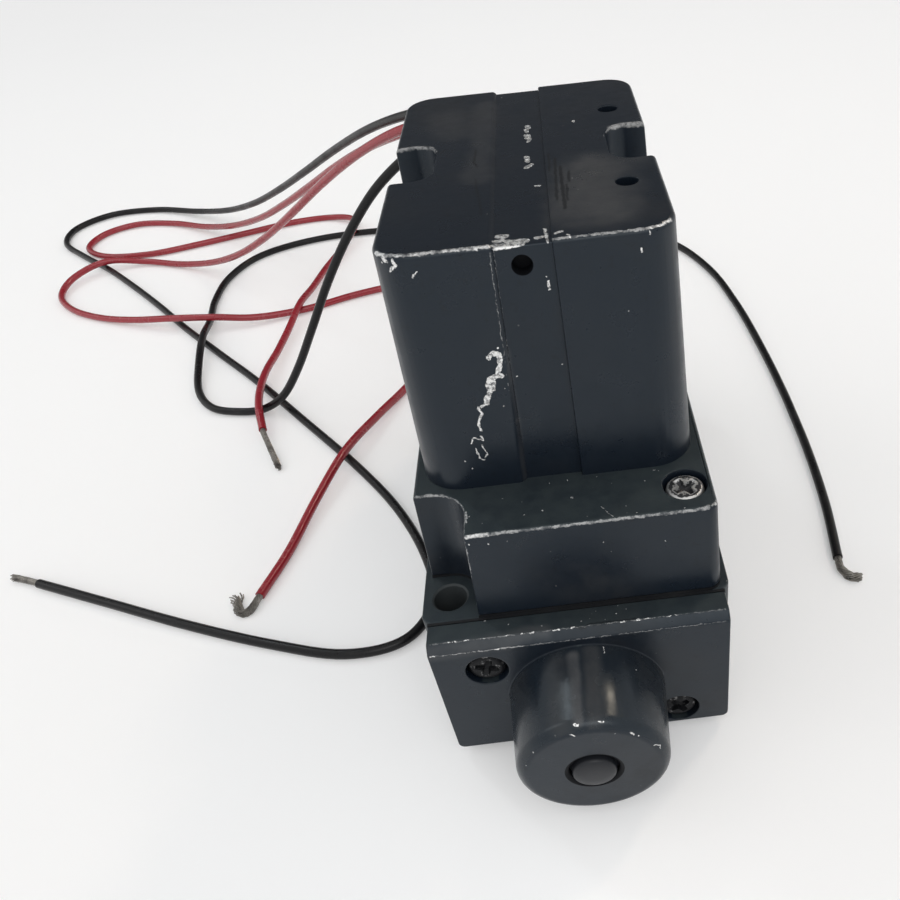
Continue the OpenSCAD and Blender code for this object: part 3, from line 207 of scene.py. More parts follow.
BOSS_CHIPS = (
    (0.2, ((-1.9, -63.85, 25.5), (-1.4, -63.9, 25.45))),
    (0.13, ((-2.6, -64.65, 24.3), (-2.1, -64.7, 24.0))),
    (0.12, ((1.6, -63.85, 25.5), (2.4, -63.85, 25.4))),
    (0.11, ((3.9, -64.75, 23.3),)),
    (0.15, ((6.2, -64.6, 22.8), (6.7, -64.65, 22.2))),
    (0.12, ((7.3, -64.7, 21.8),)),
    (0.09, ((9.6, -64.7, 18.8), (10.4, -64.5, 18.2), (10.5, -64.6, 17.4))),
    (0.12, ((-8.7, -64.6, 20.6),)),
    (0.08, ((-10.2, -64.68, 17.4),)),
    (0.08, ((3.7, -50.8, 26.2), (3.6, -51.9, 26.16))),
    (0.12, ((8.3, -53.9, 23.5),)),
)
# Edges worn bright, partly painted highlights on rounded edges and rims: half width, how far each is worn,
# places along each
TOWER_RUBS_AND_HIGHLIGHTS = (
    (0.36, 0.8, ((-19.3, -28.9, 84.6), (-17.8, -30.5, 84.8), (-15.3, -31.1, 84.85), (-4.6, -31.2, 84.85))),
    (0.26, 0.42, ((3.6, -31.2, 84.85), (15.6, -31.2, 84.85))),
    (0.3, 0.6, ((15.6, -31.2, 84.85), (17.6, -30.6, 84.85), (19.2, -29.1, 84.7))),
    (0.4, 0.35, ((-20.2, 7.2, 84.7), (-16.3, 7.2, 84.9), (-14.2, 6.3, 84.9), (-13.4, 4.2, 84.9))),
    (0.6, 0.45, ((14.5, 6.6, 84.9), (16.3, 7.3, 84.9), (20.2, 7.3, 84.7))),
    (0.3, 0.3, ((13.3, 3.0, 84.9), (14.2, 6.2, 84.9))),
    (0.09, 0.28, ((-4.55, -31.6, 84.2), (-5.3, -32.46, 63.7))),
    (0.06, 0.2, ((-4.05, -31.2, 84.2), (-4.75, -31.75, 63.7))),
)
LEDGE_RUBS_AND_HIGHLIGHTS = (
    (0.3, 0.42, ((-14.6, -43.8, 46.8), (21.6, -43.8, 46.8))),
    (0.42, 0.8, ((-14.4, -43.8, 46.8), (-11.2, -43.8, 46.8))),
    (0.36, 0.7, ((20.6, -43.8, 46.8), (22.6, -43.0, 46.8), (23.0, -42.2, 46.6))),
    (0.32, 0.45, ((-23.4, -33.6, 46.9), (-20.4, -33.6, 46.9), (-18.3, -34.0, 46.9))),
    (0.22, 0.3, ((-18.3, -34.0, 46.9), (-16.4, -35.3, 46.9), (-15.2, -37.1, 46.9), (-14.8, -39.3, 46.9),
                 (-14.8, -43.6, 46.9))),
    (0.18, 0.45, ((-14.8, -43.95, 46.0), (-15.2, -44.2, 38.5))),
    (0.22, 0.7, ((-14.5, -38.6, 47.0), (-14.5, -40.9, 47.0))),
)
CAP_RUBS_AND_HIGHLIGHTS = (
    (0.14, 0.42, ((-23.4, -50.15, 28.1), (-9.0, -50.15, 28.1))),
    (0.12, 0.2, ((-9.0, -50.15, 28.1), (23.4, -50.15, 28.1))),
    (0.12, 0.2, ((-23.4, -48.8, 29.46), (23.4, -48.8, 29.46))),
)
# Dark scuffs: half width, places along each
TOP_SCUFFS = (
    (0.2, ((5.1, -4.1, 85.0), (4.7, -19.5, 85.0))),
    (0.26, ((5.7, -7.5, 85.0), (5.7, -22.5, 85.0))),
    (0.2, ((6.9, -9.8, 85.0), (6.7, -13.5, 85.0))),
    (0.18, ((6.3, -14.5, 85.0), (6.2, -20.0, 85.0))),
    (0.14, ((4.2, -2.0, 85.0), (4.1, -9.0, 85.0))),
    (0.18, ((-7.0, 2.9, 85.0), (-7.2, -2.1, 85.0), (-6.6, -4.2, 85.0))),
    (0.12, ((-6.8, -8.8, 85.0), (-5.6, -21.5, 85.0))),
)
CAP_SCUFFS = (
    (0.15, ((-1.2, -48.7, 29.5), (0.9, -48.85, 29.4), (1.9, -48.5, 29.5), (5.6, -48.55, 29.5),
            (9.0, -48.6, 29.5))),
    (0.2, ((0.4, -49.0, 29.3), (1.1, -48.9, 29.4))),
)
# Painted sheen: lighter patches painted on the enamel where it shows reflected light and highlights; half
# width, strength, tone, places along each
TOP_PAINTED_SHEEN = (
    (6.5, 0.95, 1.0, ((9.0, -24.0, 85.0), (10.4, -11.0, 85.0))),
    (2.2, 0.4, 1.0, ((-6.0, 24.0, 85.0), (-6.3, -8.0, 85.0))),
    (3.5, 0.35, 1.0, ((-12.0, 20.0, 85.0), (-11.0, 12.0, 85.0))),
)
FRONT_PAINTED_SHEEN = (
    (0.5, 0.4, 1.3, ((-4.6, -31.85, 70.0), (-4.95, -32.15, 58.0))),
    (0.5, 0.42, 1.0, ((-4.95, -32.15, 58.0), (-5.35, -32.6, 47.5))),
)
BOSS_PAINTED_HIGHLIGHTS = (
    (1.0, 0.85, 1.6, ((-1.5, -52.0, 26.5), (-1.3, -63.2, 25.8))),
    (2.4, 0.5, 0.9, ((-4.2, -53.0, 25.7), (-4.0, -63.0, 25.0))),
    (1.6, 0.75, 0.95, ((1.4, -52.0, 26.5), (1.4, -63.2, 25.8))),
    (2.6, 0.35, 0.8, ((-10.5, -52.0, 21.5), (-10.3, -63.0, 21.0))),
)
CAP_PAINTED_SHEEN = (
    (1.5, 0.55, 1.35, ((-23.6, -49.7, 28.6), (-6.0, -48.9, 29.4))),
)
# Boxes, in mm, in which a casting's corners stay sharp: bores and faces out of sight
COVER_INSIDE = (((-21, -40, 29), (21, 40, 44.5)), ((-17.6, -29.2, 44), (17.6, 29.2, 84)),
                ((-16, 28, 65), (-3.6, 35, 81)))
BODY_INSIDE = (((-18, -45, -1), (18, 45, 29)), ((-16, -43, 28), (16, 43, 30)),
               ((16, 36, 28), (24, 43, 30)), ((-24, -43, 28), (-16, -36, 30)),
               ((16, -40, 29), (21, -36, 30)), ((-21, 36, 29), (-16, 40, 30)))
CAP_INSIDE = (((-11, 44, 2), (11, 46, 26)), ((-18, 44, 3), (18, 48, 27)), ((-5, 60, 9), (5, 64.6, 18.5)),
              ((-7, 48, 0), (7, 51, 2.1)))
# Far end cap, in mm: the boss's root, which is filled, and the lower corners, which are rounded
CAP_ROOT = (((-13, 50.1, 1.9), (13, 50.3, 27)),)
CAP_CORNERS = tuple(((x - 0.1, 44.3, 1.9), (x + 0.1, 50.7, 2.1)) for x in (-24, 24))
# Height of the spool's axis, in mm
AXIS_Z = 13.7
# Bare ends: strands in each layer; mm inside the insulation, straight out of it and over the table
STRAND_LAYERS = (1, 6, 11)
STRAND_TUCK, STRAND_STRAIGHT, STRAND_FLOOR = 1.5, 1.2, 0.28
# How far a stray strand leaves its layer
STRAND_FLARE = 2.2
# Angles, in degrees: facets merged into one face, and corners that are eased
FLAT_ANGLE, CORNER_ANGLE = 0.4, 38.0

# Rubber and plastic: colour, scuffed colour, gloss, relief in mm, specular level
MOULDED = {
    # Bore shade is painted shade: near black where bores and the button's gap lie in shadow
    "Bore shade": ((0.005, 0.0055, 0.007), (0.01, 0.01, 0.012), 0.05, 0.01, 0.1),
    # Bore painted light: a lighter colour painted on the mount bores' walls for light falling into them
    "Bored wall": ((0.045, 0.052, 0.055), (0.08, 0.08, 0.08), 0.05, 0.02, 0.2),
    "Gasket sheet": ((0.009, 0.0098, 0.0115), (0.02, 0.02, 0.021), 0.05, 0.02, 0.25),
    "Satin acetal": ((0.014, 0.0155, 0.019), (0.04, 0.04, 0.042), 0.24, 0.012, 0.3),
    "Black rubber": ((0.011, 0.011, 0.0115), (0.045, 0.045, 0.045), 0.08, 0.02, 0.25),
    "Natural nylon": ((0.62, 0.56, 0.42), (0.5, 0.42, 0.28), 0.2, 0.015, 0.4),
}
# Machined metal: colour, tarnish, stretch of its grain
EVEN = (1.0, 1.0, 1.0)
METALS = {
    "Tinned strands": ((0.3, 0.285, 0.26), (0.045, 0.042, 0.038), EVEN),
    "Plain steel": ((0.42, 0.42, 0.44), (0.24, 0.23, 0.22), (1.0, 1.0, 0.15)),
    "Machined aluminium": ((0.66, 0.67, 0.69), (0.46, 0.46, 0.46), (1.0, 0.15, 1.0)),
    "Machined brass": ((0.62, 0.43, 0.15), (0.36, 0.22, 0.08), (1.0, 1.0, 0.15)),
}
# Screws: dark colour, bare colour, share worn bare, specular level
WORN_SCREWS = {
    "Blackened screw": ((0.008, 0.0085, 0.01), (0.2, 0.2, 0.2), 0.1, 0.2),
    "Worn screw": ((0.028, 0.029, 0.032), (0.62, 0.62, 0.61), 0.36, 0.5),
    "Plate screw steel": ((0.2, 0.2, 0.205), (0.5, 0.5, 0.5), 0.1, 0.5),
}
# Inner works by finish: a name without its end is there at both
WORKS = {
    "Black rubber": ("spool_seals", "piston_seals", "button_seals", "poppet"),
    "Machined aluminium": ("spool", "piston", "pilot_plate"),
    "Machined brass": ("pilot_seats",),
    "Natural nylon": ("bobbin",),
    "Wound copper": ("winding",),
    "Plain steel": ("frame", "core_tube", "pole_piece", "armature", "spring", "coil_nuts"),
}
# Enamel in its pits and scuffs
PIT_COLOUR = (0.004, 0.005, 0.007)
SCUFF_COLOUR = (0.004, 0.0045, 0.006)
# Lights: place, target, width and height in m, tint, spread in degrees
LIGHTS = {
    "window": ((0.3, -1.4, 1.75), (0.05, 0.0, 0.03), (1.5, 1.1), EVEN, 180.0),
    "side_window": ((-1.4, 0.2, 1.2), (0.0, 0.0, 0.05), (0.5, 0.9), EVEN, 180.0),
    "back_window": ((0.8, 0.72, 1.2), (0.0, -0.05, 0.03), (0.16, 0.24), (1.0, 0.81, 0.62), 50.0),
    "left_window": ((-0.72, 0.8, 1.25), (0.0, -0.05, 0.03), (0.15, 0.34), (0.9, 0.97, 1.0), 50.0),
}


def mm(*values):
    """A place given in mm, in metres."""
    return Vector(values) * MM


def smooth_route(places, steps):
    """Points of the smooth curve through the places."""
    run = [2 * places[0] - places[1], *places, 2 * places[-1] - places[-2]]
    points = []
    for before, start, end, after in zip(run, run[1:], run[2:], run[3:]):
        for step in range(steps):
            t = step / steps
            points.append(0.5 * (2 * start + (end - before) * t
                                 + (2 * before - 5 * start + 4 * end - after) * t * t
                                 + (3 * start - before - 3 * end + after) * t ** 3))
    return [*points, places[-1]]


def route_length(points):
    """Length along the points."""
    return sum((b - a).length for a, b in zip(points, points[1:]))


def heading(points, n):
    """Way along the points at one of them, and the level way across it."""
    ahead = (points[min(n + 1, len(points) - 1)] - points[max(n - 1, 0)]).normalized()
    return ahead, ahead.cross(Vector((0, 0, 1))).normalized()


class Tree:
    """Adds and joins the nodes of one tree."""

    def __init__(self, tree):
        self.tree = tree

    def add(self, kind, inputs=None, **settings):
        """New node with its settings, each input linked or set."""
        node = self.tree.nodes.new(kind)
        for name, value in settings.items():
            setattr(node, name, value)
        for key, value in (inputs or {}).items():
            self.feed(node.inputs[key], value)
        return node

    def feed(self, socket, value):
        """Links a socket, or sets its value, a colour without its alpha."""
        if isinstance(value, bpy.types.NodeSocket):
            self.tree.links.new(value, socket)
        else:
            socket.default_value = (*value, 1.0) if socket.type == "RGBA" else value

    def math(self, operation, *values):
        """Result of one sum."""
        return self.add("ShaderNodeMath", dict(enumerate(values)), operation=operation).outputs[0]

    def fold(self, operation, values):
        """Result of one sum over all the values."""
        return functools.reduce(functools.partial(self.math, operation), values)

    def plus(self, *values):
        """Values added up."""
        return self.fold("ADD", values)

    def times(self, *values):
        """Values multiplied."""
        return self.fold("MULTIPLY", values)

    def vector(self, operation, *values):
        """Result of one vector sum, a number where it has no direction."""
        node = self.add("ShaderNodeVectorMath", dict(enumerate(values)), operation=operation)
        number = operation in {"DOT_PRODUCT", "LENGTH", "DISTANCE"}
        return node.outputs["Value" if number else "Vector"]

    def scaled(self, vector, factor):
        """Vector times a number."""
        node = self.add("ShaderNodeVectorMath", {0: vector, "Scale": factor}, operation="SCALE")
        return node.outputs["Vector"]

    def remap(self, value, low, high, to_low=0.0, to_high=1.0):
        """Value brought smoothly from one range to another."""
        inputs = {"Value": value, "From Min": low, "From Max": high, "To Min": to_low, "To Max": to_high}
        return self.add("ShaderNodeMapRange", inputs, interpolation_type="SMOOTHSTEP").outputs[0]

    def mix(self, factor, first, second):
        """Colour between two colours."""
        node = self.add("ShaderNodeMix", {0: factor, 6: first, 7: second}, data_type="RGBA")
        return node.outputs[2]

    def noise(self, place, scale, detail=2.0, roughness=0.5):
        """Soft noise, its value first and its colour second."""
        inputs = {"Vector": place, "Scale": scale, "Detail": detail, "Roughness": roughness}
        return self.add("ShaderNodeTexNoise", inputs).outputs

    def strayed(self, place, scale, roughness, reach):
        """Place moved about by noise."""
        way = self.vector("SUBTRACT", self.noise(place, scale, 3.0, roughness)[1], (0.5, 0.5, 0.5))
        return self.vector("ADD", place, self.scaled(way, reach))

    def group(self, name, **inputs):
        """Sockets that a node group puts out."""
        named = {label.replace("_", " "): value for label, value in inputs.items()}
        return self.add("ShaderNodeGroup", named, node_tree=find_group(name)).outputs


SHADER_GROUPS = {}
SKIN = {"Colour": "Color", "Roughness": "Float", "Height": "Float"}


def shader_group(name, inputs, outputs):
    """Decorator: keeps a node group's sockets with the function that fills it."""
    def keep(fill):
        SHADER_GROUPS[name] = inputs, outputs, fill
        return fill
    return keep


def find_group(name):
    """Node group of this name, filled when it is first asked for."""
    if name in bpy.data.node_groups:
        return bpy.data.node_groups[name]
    group = bpy.data.node_groups.new(name, "ShaderNodeTree")
    inputs, outputs, fill = SHADER_GROUPS[name]
    for way, sockets in (("INPUT", inputs), ("OUTPUT", outputs)):
        for label, kind in sockets.items():
            group.interface.new_socket(name=label, in_out=way, socket_type=f"NodeSocket{kind}")
    tree = Tree(group)
    fill(tree, tree.add("NodeGroupInput").outputs, tree.add("NodeGroupOutput").inputs)
    return group


@shader_group("Paint skin", {"Place": "Vector", "Paint": "Color", "Haze": "Color", "Dust": "Color"}, SKIN)
def paint_skin(tree, given, out):
    """Satin enamel on a casting, with haze, fine grain and dust specks."""
    place = given["Place"]
    cloud = tree.noise(place, 48.0, 3.0)[0]
    smudge = tree.noise(place, 240.0, 5.0, 0.62)[0]
    grain = tree.noise(place, 2600.0, 2.0)[0]
    pits = tree.noise(place, 900.0, 3.0, 0.6)[0]
    hazed = tree.times(tree.remap(cloud, 0.46, 0.72), tree.remap(smudge, 0.3, 0.7, 0.3, 1.0))
    colour = tree.mix(tree.times(hazed, 0.55), given["Paint"], given["Haze"])
    colour = tree.mix(tree.remap(pits, 0.3, 0.42, 0.35, 0.0), colour, PIT_COLOUR)
    cells = tree.add("ShaderNodeTexVoronoi", {"Vector": place, "Scale": 420.0}).outputs
    chosen = tree.remap(tree.vector("DOT_PRODUCT", cells["Color"], (1.0, 0.0, 0.0)), 0.86, 0.88)
    speck = tree.times(tree.remap(cells["Distance"], 0.075, 0.04), chosen)
    tree.feed(out["Colour"], tree.mix(tree.times(speck, 0.5), colour, given["Dust"]))
    tree.feed(out["Roughness"], tree.plus(tree.remap(smudge, 0.3, 0.72, 0.26, 0.38), tree.times(hazed, 0.1),
                                          tree.times(speck, 0.3)))
    tree.feed(out["Height"], tree.plus(tree.times(grain, 0.5), tree.times(pits, 0.7), tree.times(speck, 0.8)))


@shader_group("Bare spots", {"Place": "Vector", "Mask": "Float", "Colour": "Color", "Roughness": "Float",
                             "Height": "Float", "Dull metal": "Color", "Bright metal": "Color"},
              {"Colour": "Color", "Roughness": "Float", "Metallic": "Float", "Height": "Float"})
def bare_spots(tree, given, out):
    """Paint gone from the metal where the mask is 1."""
    mask = given["Mask"]
    rough = tree.noise(given["Place"], 1700.0, 3.0, 0.6)[0]
    bare = tree.mix(tree.remap(rough, 0.28, 0.55), given["Dull metal"], given["Bright metal"])
    tree.feed(out["Colour"], tree.mix(mask, given["Colour"], bare))
    change = tree.math("SUBTRACT", tree.remap(rough, 0.3, 0.7, 0.32, 0.6), given["Roughness"])
    tree.feed(out["Roughness"], tree.plus(given["Roughness"], tree.times(change, mask)))
    tree.feed(out["Metallic"], tree.times(mask, 0.85))
    dip = tree.math("SUBTRACT", tree.times(rough, 2.2), 2.6)
    tree.feed(out["Height"], tree.plus(given["Height"], tree.times(dip, mask)))


@shader_group("Streak", {"Place": "Vector", "Start": "Vector", "End": "Vector", "Half width": "Float"},
              {"Outside": "Float"})
def streak(tree, given, out):
    """How far a place is outside a rounded streak from one end to the other."""
    along = tree.vector("SUBTRACT", given["End"], given["Start"])
    offset = tree.vector("SUBTRACT", given["Place"], given["Start"])
    share = tree.math("DIVIDE", tree.vector("DOT_PRODUCT", offset, along),
                      tree.vector("DOT_PRODUCT", along, along))
    share = tree.math("MINIMUM", tree.math("MAXIMUM", share, 0.0), 1.0)
    gap = tree.vector("LENGTH", tree.vector("SUBTRACT", offset, tree.scaled(along, share)))
    tree.feed(out["Outside"], tree.math("SUBTRACT", gap, given["Half width"]))


@shader_group("Metal skin", {"Place": "Vector", "Metal": "Color", "Tarnish": "Color", "Stretch": "Vector"},
              SKIN)
def metal_skin(tree, given, out):
    """Machined metal, drawn along one axis."""
    drawn = tree.noise(tree.vector("MULTIPLY", given["Place"], given["Stretch"]), 1500.0, 3.0, 0.6)[0]
    stain = tree.noise(given["Place"], 260.0, 4.0, 0.6)[0]
    tree.feed(out["Colour"], tree.mix(tree.remap(stain, 0.42, 0.75), given["Metal"], given["Tarnish"]))
    tree.feed(out["Roughness"], tree.plus(tree.remap(drawn, 0.3, 0.7, 0.24, 0.42),
                                          tree.remap(stain, 0.45, 0.8, 0.0, 0.2)))
    tree.feed(out["Height"], drawn)


@shader_group("Moulded skin", {"Place": "Vector", "Base": "Color", "Scuff": "Color", "Gloss": "Float"}, SKIN)
def moulded_skin(tree, given, out):
    """Rubber or plastic with fine grain, scuffs and a little dust."""
    cloud = tree.noise(given["Place"], 160.0, 4.0, 0.6)[0]
    grain = tree.noise(given["Place"], 2200.0, 3.0, 0.6)[0]
    scuffed = tree.times(tree.remap(cloud, 0.5, 0.78), tree.remap(grain, 0.35, 0.65))
    tree.feed(out["Colour"], tree.mix(tree.times(scuffed, 0.6), given["Base"], given["Scuff"]))
    tree.feed(out["Roughness"], tree.plus(tree.math("SUBTRACT", 0.62, given["Gloss"]),
                                          tree.remap(cloud, 0.35, 0.75, -0.05, 0.12),
                                          tree.times(scuffed, 0.15)))
    tree.feed(out["Height"], tree.plus(grain, tree.times(cloud, 0.6)))


def made_once(make):
    """Decorator: a finish of this name is made once and found again after that."""
    @functools.wraps(make)
    def find(name, *values, **settings):
        return bpy.data.materials.get(name) or make(name, *values, **settings)
    return find


def new_finish(name, specular, relief, tint=(1.0, 1.0, 1.0)):
    """Material with its shader and bump: the material, tree, place and sockets to feed."""
    material = bpy.data.materials.new(name)
    material.use_nodes = True
    tree = Tree(material.node_tree)
    shader = material.node_tree.nodes["Principled BSDF"]
    shader.inputs["Specular IOR Level"].default_value = specular
    shader.inputs["Specular Tint"].default_value = (*tint, 1.0)
    place = tree.add("ShaderNodeTexCoord").outputs["Object"]
    bump = tree.add("ShaderNodeBump", {"Strength": 1.0, "Distance": relief * MM})
    tree.feed(shader.inputs["Normal"], bump.outputs["Normal"])
    feeds = {"Height": bump.inputs["Height"]}
    for label, socket in (("Colour", "Base Color"), ("Roughness", "Roughness"), ("Metallic", "Metallic"),
                          ("Glow", "Emission Strength")):
        feeds[label] = shader.inputs[socket]
    return material, tree, place, feeds


def feed_all(tree, feeds, made):
    """Links what a group puts out to the sockets of the same name."""
    for socket in made:
        tree.feed(feeds[socket.name], socket)


def nearest_streak(tree, place, streaks):
    """How far a place is outside the nearest of the streaks."""
    return tree.fold("MINIMUM", [
        tree.group("Streak", Place=place, Start=mm(*start), End=mm(*end), Half_width=half_width * MM)[0]
        for half_width, points in streaks for start, end in zip(points, points[1:] or points)])


@made_once
def painted(name, chips=(), rubs_and_highlights=(), scuffs=(), pale_sheen=(), dust_and_painted_light=0.0, edge_share=0.0, polish=0.0):
    """Dark satin enamel with chips, edges worn bright and partly painted highlights, scuffs, painted sheen,
    settled dust that is partly painted light, and flecked edges.
    """
    look = bpy.context.scene.valve_finish
    material, tree, place, feeds = new_finish(name, look.paint_gloss, 0.012, look.paint_tint)
    skin = tree.group("Paint skin", Place=place, Paint=look.paint, Haze=look.haze, Dust=look.dust)
    colour = skin["Colour"]
    rough = tree.math("SUBTRACT", skin["Roughness"], polish) if polish else skin["Roughness"]
    cloud = tree.noise(place, 330.0, 4.0, 0.6)[0]
    torn = tree.strayed(place, 1500.0, 0.6, 0.7 * MM)
    # Settled dust, partly painted light: a lighter colour that lifts faces which reflect dark surroundings
    if dust_and_painted_light:
        dust_and_light_mask = tree.remap(cloud, 0.25, 0.7, 0.55 * dust_and_painted_light, dust_and_painted_light)
        colour = tree.mix(dust_and_light_mask, colour, look.dust_and_painted_light)
        rough = tree.plus(rough, tree.times(dust_and_light_mask, 0.25))
    # Painted sheen: patches mixed towards a lighter colour where the enamel would show reflected light
    for half_width, strength, tone, points in pale_sheen:
        drifted = tree.strayed(place, 95.0, 0.55, 2.0 * half_width * MM)
        sheen_mask = nearest_streak(tree, drifted, ((half_width, points),))
        sheen_mask = tree.remap(sheen_mask, 0.4 * half_width * MM, -0.7 * half_width * MM, 0.0, strength)
        sheen_mask = tree.times(sheen_mask, tree.remap(cloud, 0.25, 0.7, 0.6, 1.0))
        colour = tree.mix(sheen_mask, colour, [tone * c for c in look.pale_sheen])
    if scuffs:
        scuffed = tree.remap(nearest_streak(tree, torn, scuffs), 0.12 * MM, -0.1 * MM, 0.0, 0.8)
        colour = tree.mix(scuffed, colour, SCUFF_COLOUR)
    masks = []
    if chips:
        broken = tree.remap(tree.noise(place, 2300.0, 2.0, 0.55)[0], 0.38, 0.5, 0.3, 1.0)
        bare = tree.remap(nearest_streak(tree, torn, chips), 0.03 * MM, -0.03 * MM)
        masks.append(tree.times(bare, broken))
    # Edges worn bright, partly painted highlights along rounded edges and rims
    if rubs_and_highlights:
        fleck = tree.remap(tree.noise(place, 700.0, 4.0, 0.65)[0], 0.36, 0.56, 0.2, 1.0)
    for half_width, strength, points in rubs_and_highlights:
        rub_and_highlight = nearest_streak(tree, torn, ((half_width, points),))
        masks.append(tree.times(tree.remap(rub_and_highlight, 0.0, -0.5 * half_width * MM, 0.0, strength), fleck))
    if edge_share:
        fleck = tree.noise(place, 420.0, 4.0, 0.7)[0]
        masks.append(tree.remap(fleck, 0.72 - edge_share, 0.78 - edge_share))
    feed_all(tree, feeds, tree.group(
        "Bare spots", Place=place, Mask=tree.fold("MAXIMUM", masks) if masks else 0.0, Colour=colour,
        Roughness=rough, Height=skin["Height"], Dull_metal=look.dull_metal, Bright_metal=look.bright_metal))
    return material


@made_once
def metal(name, colour, tarnish, stretch):
    """Machined metal of one colour."""
    material, tree, place, feeds = new_finish(name, 0.5, 0.01)
    feed_all(tree, feeds, tree.group("Metal skin", Place=place, Metal=colour, Tarnish=tarnish,
                                     Stretch=stretch))
    feeds["Metallic"].default_value = 1.0
    return material


@made_once
def moulded(name, colour, scuff, gloss, relief, specular):
    """Rubber or plastic of one colour."""
    material, tree, place, feeds = new_finish(name, specular, relief)
    feed_all(tree, feeds, tree.group("Moulded skin", Place=place, Base=colour, Scuff=scuff, Gloss=gloss))
    return material


@made_once
def worn_screw(name, dark, bright, share, specular):
    """Screw worn to bright metal over a share of its rim and the edges of its recess."""
    material, tree, place, feeds = new_finish(name, specular, 0.03)
    made = tree.group("Metal skin", Place=place, Metal=dark, Tarnish=dark, Stretch=EVEN)
    fleck = tree.noise(place, 1100.0, 4.0, 0.7)[0]
    wear = tree.add("ShaderNodeAttribute", attribute_name="wear").outputs["Fac"]
    bare = tree.remap(tree.plus(fleck, tree.times(wear, share)), 0.62, 0.76)
    tree.feed(feeds["Colour"], tree.mix(bare, made["Colour"], bright))
    tree.feed(feeds["Roughness"], tree.plus(made["Roughness"], 0.08))
    tree.feed(feeds["Height"], fleck)
    tree.feed(feeds["Metallic"], tree.remap(bare, 0.0, 1.0, 0.35, 0.9))
    return material


@made_once
def wound_copper(name):
    """Enamelled wire, wound in close turns."""
    material, tree, place, feeds = new_finish(name, 0.5, 0.08)
    turns = tree.add("ShaderNodeTexWave", {"Vector": place, "Scale": 620.0, "Distortion": 0.6},
                     bands_direction="Z").outputs["Fac"]
    made = tree.group("Metal skin", Place=place, Metal=(0.5, 0.17, 0.06), Tarnish=(0.3, 0.09, 0.04),
                      Stretch=EVEN)
    tree.feed(feeds["Colour"], tree.mix(turns, (0.1, 0.03, 0.015), made["Colour"]))
    tree.feed(feeds["Roughness"], made["Roughness"])
    tree.feed(feeds["Height"], turns)
    feeds["Metallic"].default_value = 0.8
    return material


def named_finish(name):
    """Rubber, plastic, metal or a screw's finish from the tables."""
    for make, table in ((moulded, MOULDED), (metal, METALS), (worn_screw, WORN_SCREWS)):
        if name in table:
            return make(name, *table[name])
    return wound_copper(name)


def new_piece(name, mesh, finishes, body, slot, *nodes):
    """Object that rides on a body, takes its finishes and stands for CAD nodes, which it hides; the slot is
    not used.
    """
    piece = bpy.data.objects.new(name, mesh)
    bpy.context.scene.collection.objects.link(piece)
    for finish in finishes:
        piece.data.materials.append(finish)
    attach(piece, body)
    if nodes:
        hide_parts(*nodes)
    return piece


def to_mesh(name, shape, sharp=40.0):
    """Plain mesh of a shape, smooth but for its sharp edges."""
    shape.normal_update()
    for face in shape.faces:
        face.smooth = True
    for edge in shape.edges:
        edge.smooth = edge.calc_face_angle(math.pi) < math.radians(sharp)
    mesh = bpy.data.meshes.new(name)
    shape.to_mesh(mesh)
    shape.free()
    return mesh


def ring(shape, centre, radius, across, up, segments):
    """Ring of verts round a centre, or one vert where there is no radius."""
    if radius == 0:
        return [shape.verts.new(centre)]
    turns = [2 * math.pi * n / segments for n in range(segments)]
    return [shape.verts.new(centre + radius * (across * math.cos(t) + up * math.sin(t))) for t in turns]


def join_rings(shape, rings):
    """Faces from each ring to the next, either of which may be one vert."""
    for first, second in zip(rings, rings[1:]):
        for n in range(max(len(first), len(second))):
            corners = ((first, n), (first, n + 1), (second, n + 1), (second, n))
            shape.faces.new(list(dict.fromkeys(row[m % len(row)] for row, m in corners)))


def turned(name, profile, place, axis, segments=64):
    """Turned piece: radius and distance along the axis from its place, in mm, closed at both ends."""
    axis = Vector(axis)
    across = axis.orthogonal().normalized()
    up = axis.cross(across)
    shape = bmesh.new()
    join_rings(shape, [ring(shape, Vector(place) + axis * along * MM, radius * MM, across, up, segments)
                       for radius, along in profile])
    bmesh.ops.recalc_face_normals(shape, faces=shape.faces)
    return to_mesh(name, shape)


def within(edge, boxes):
    """Whether an edge lies in one of the boxes, given in mm."""
    return any(all(low <= c / MM <= high for v in edge.verts for low, c, high in zip(first, v.co, last))
               for first, last in boxes)


def at_end(way, boxes):
    """Boxes at the far end, or turned over to the near end."""
    placed = []
    for (x, y, z), (far_x, far_y, far_z) in boxes:
        low, high = sorted((way * y, way * far_y))
        placed.append(((x, low, z), (far_x, high, far_z)))
    return placed


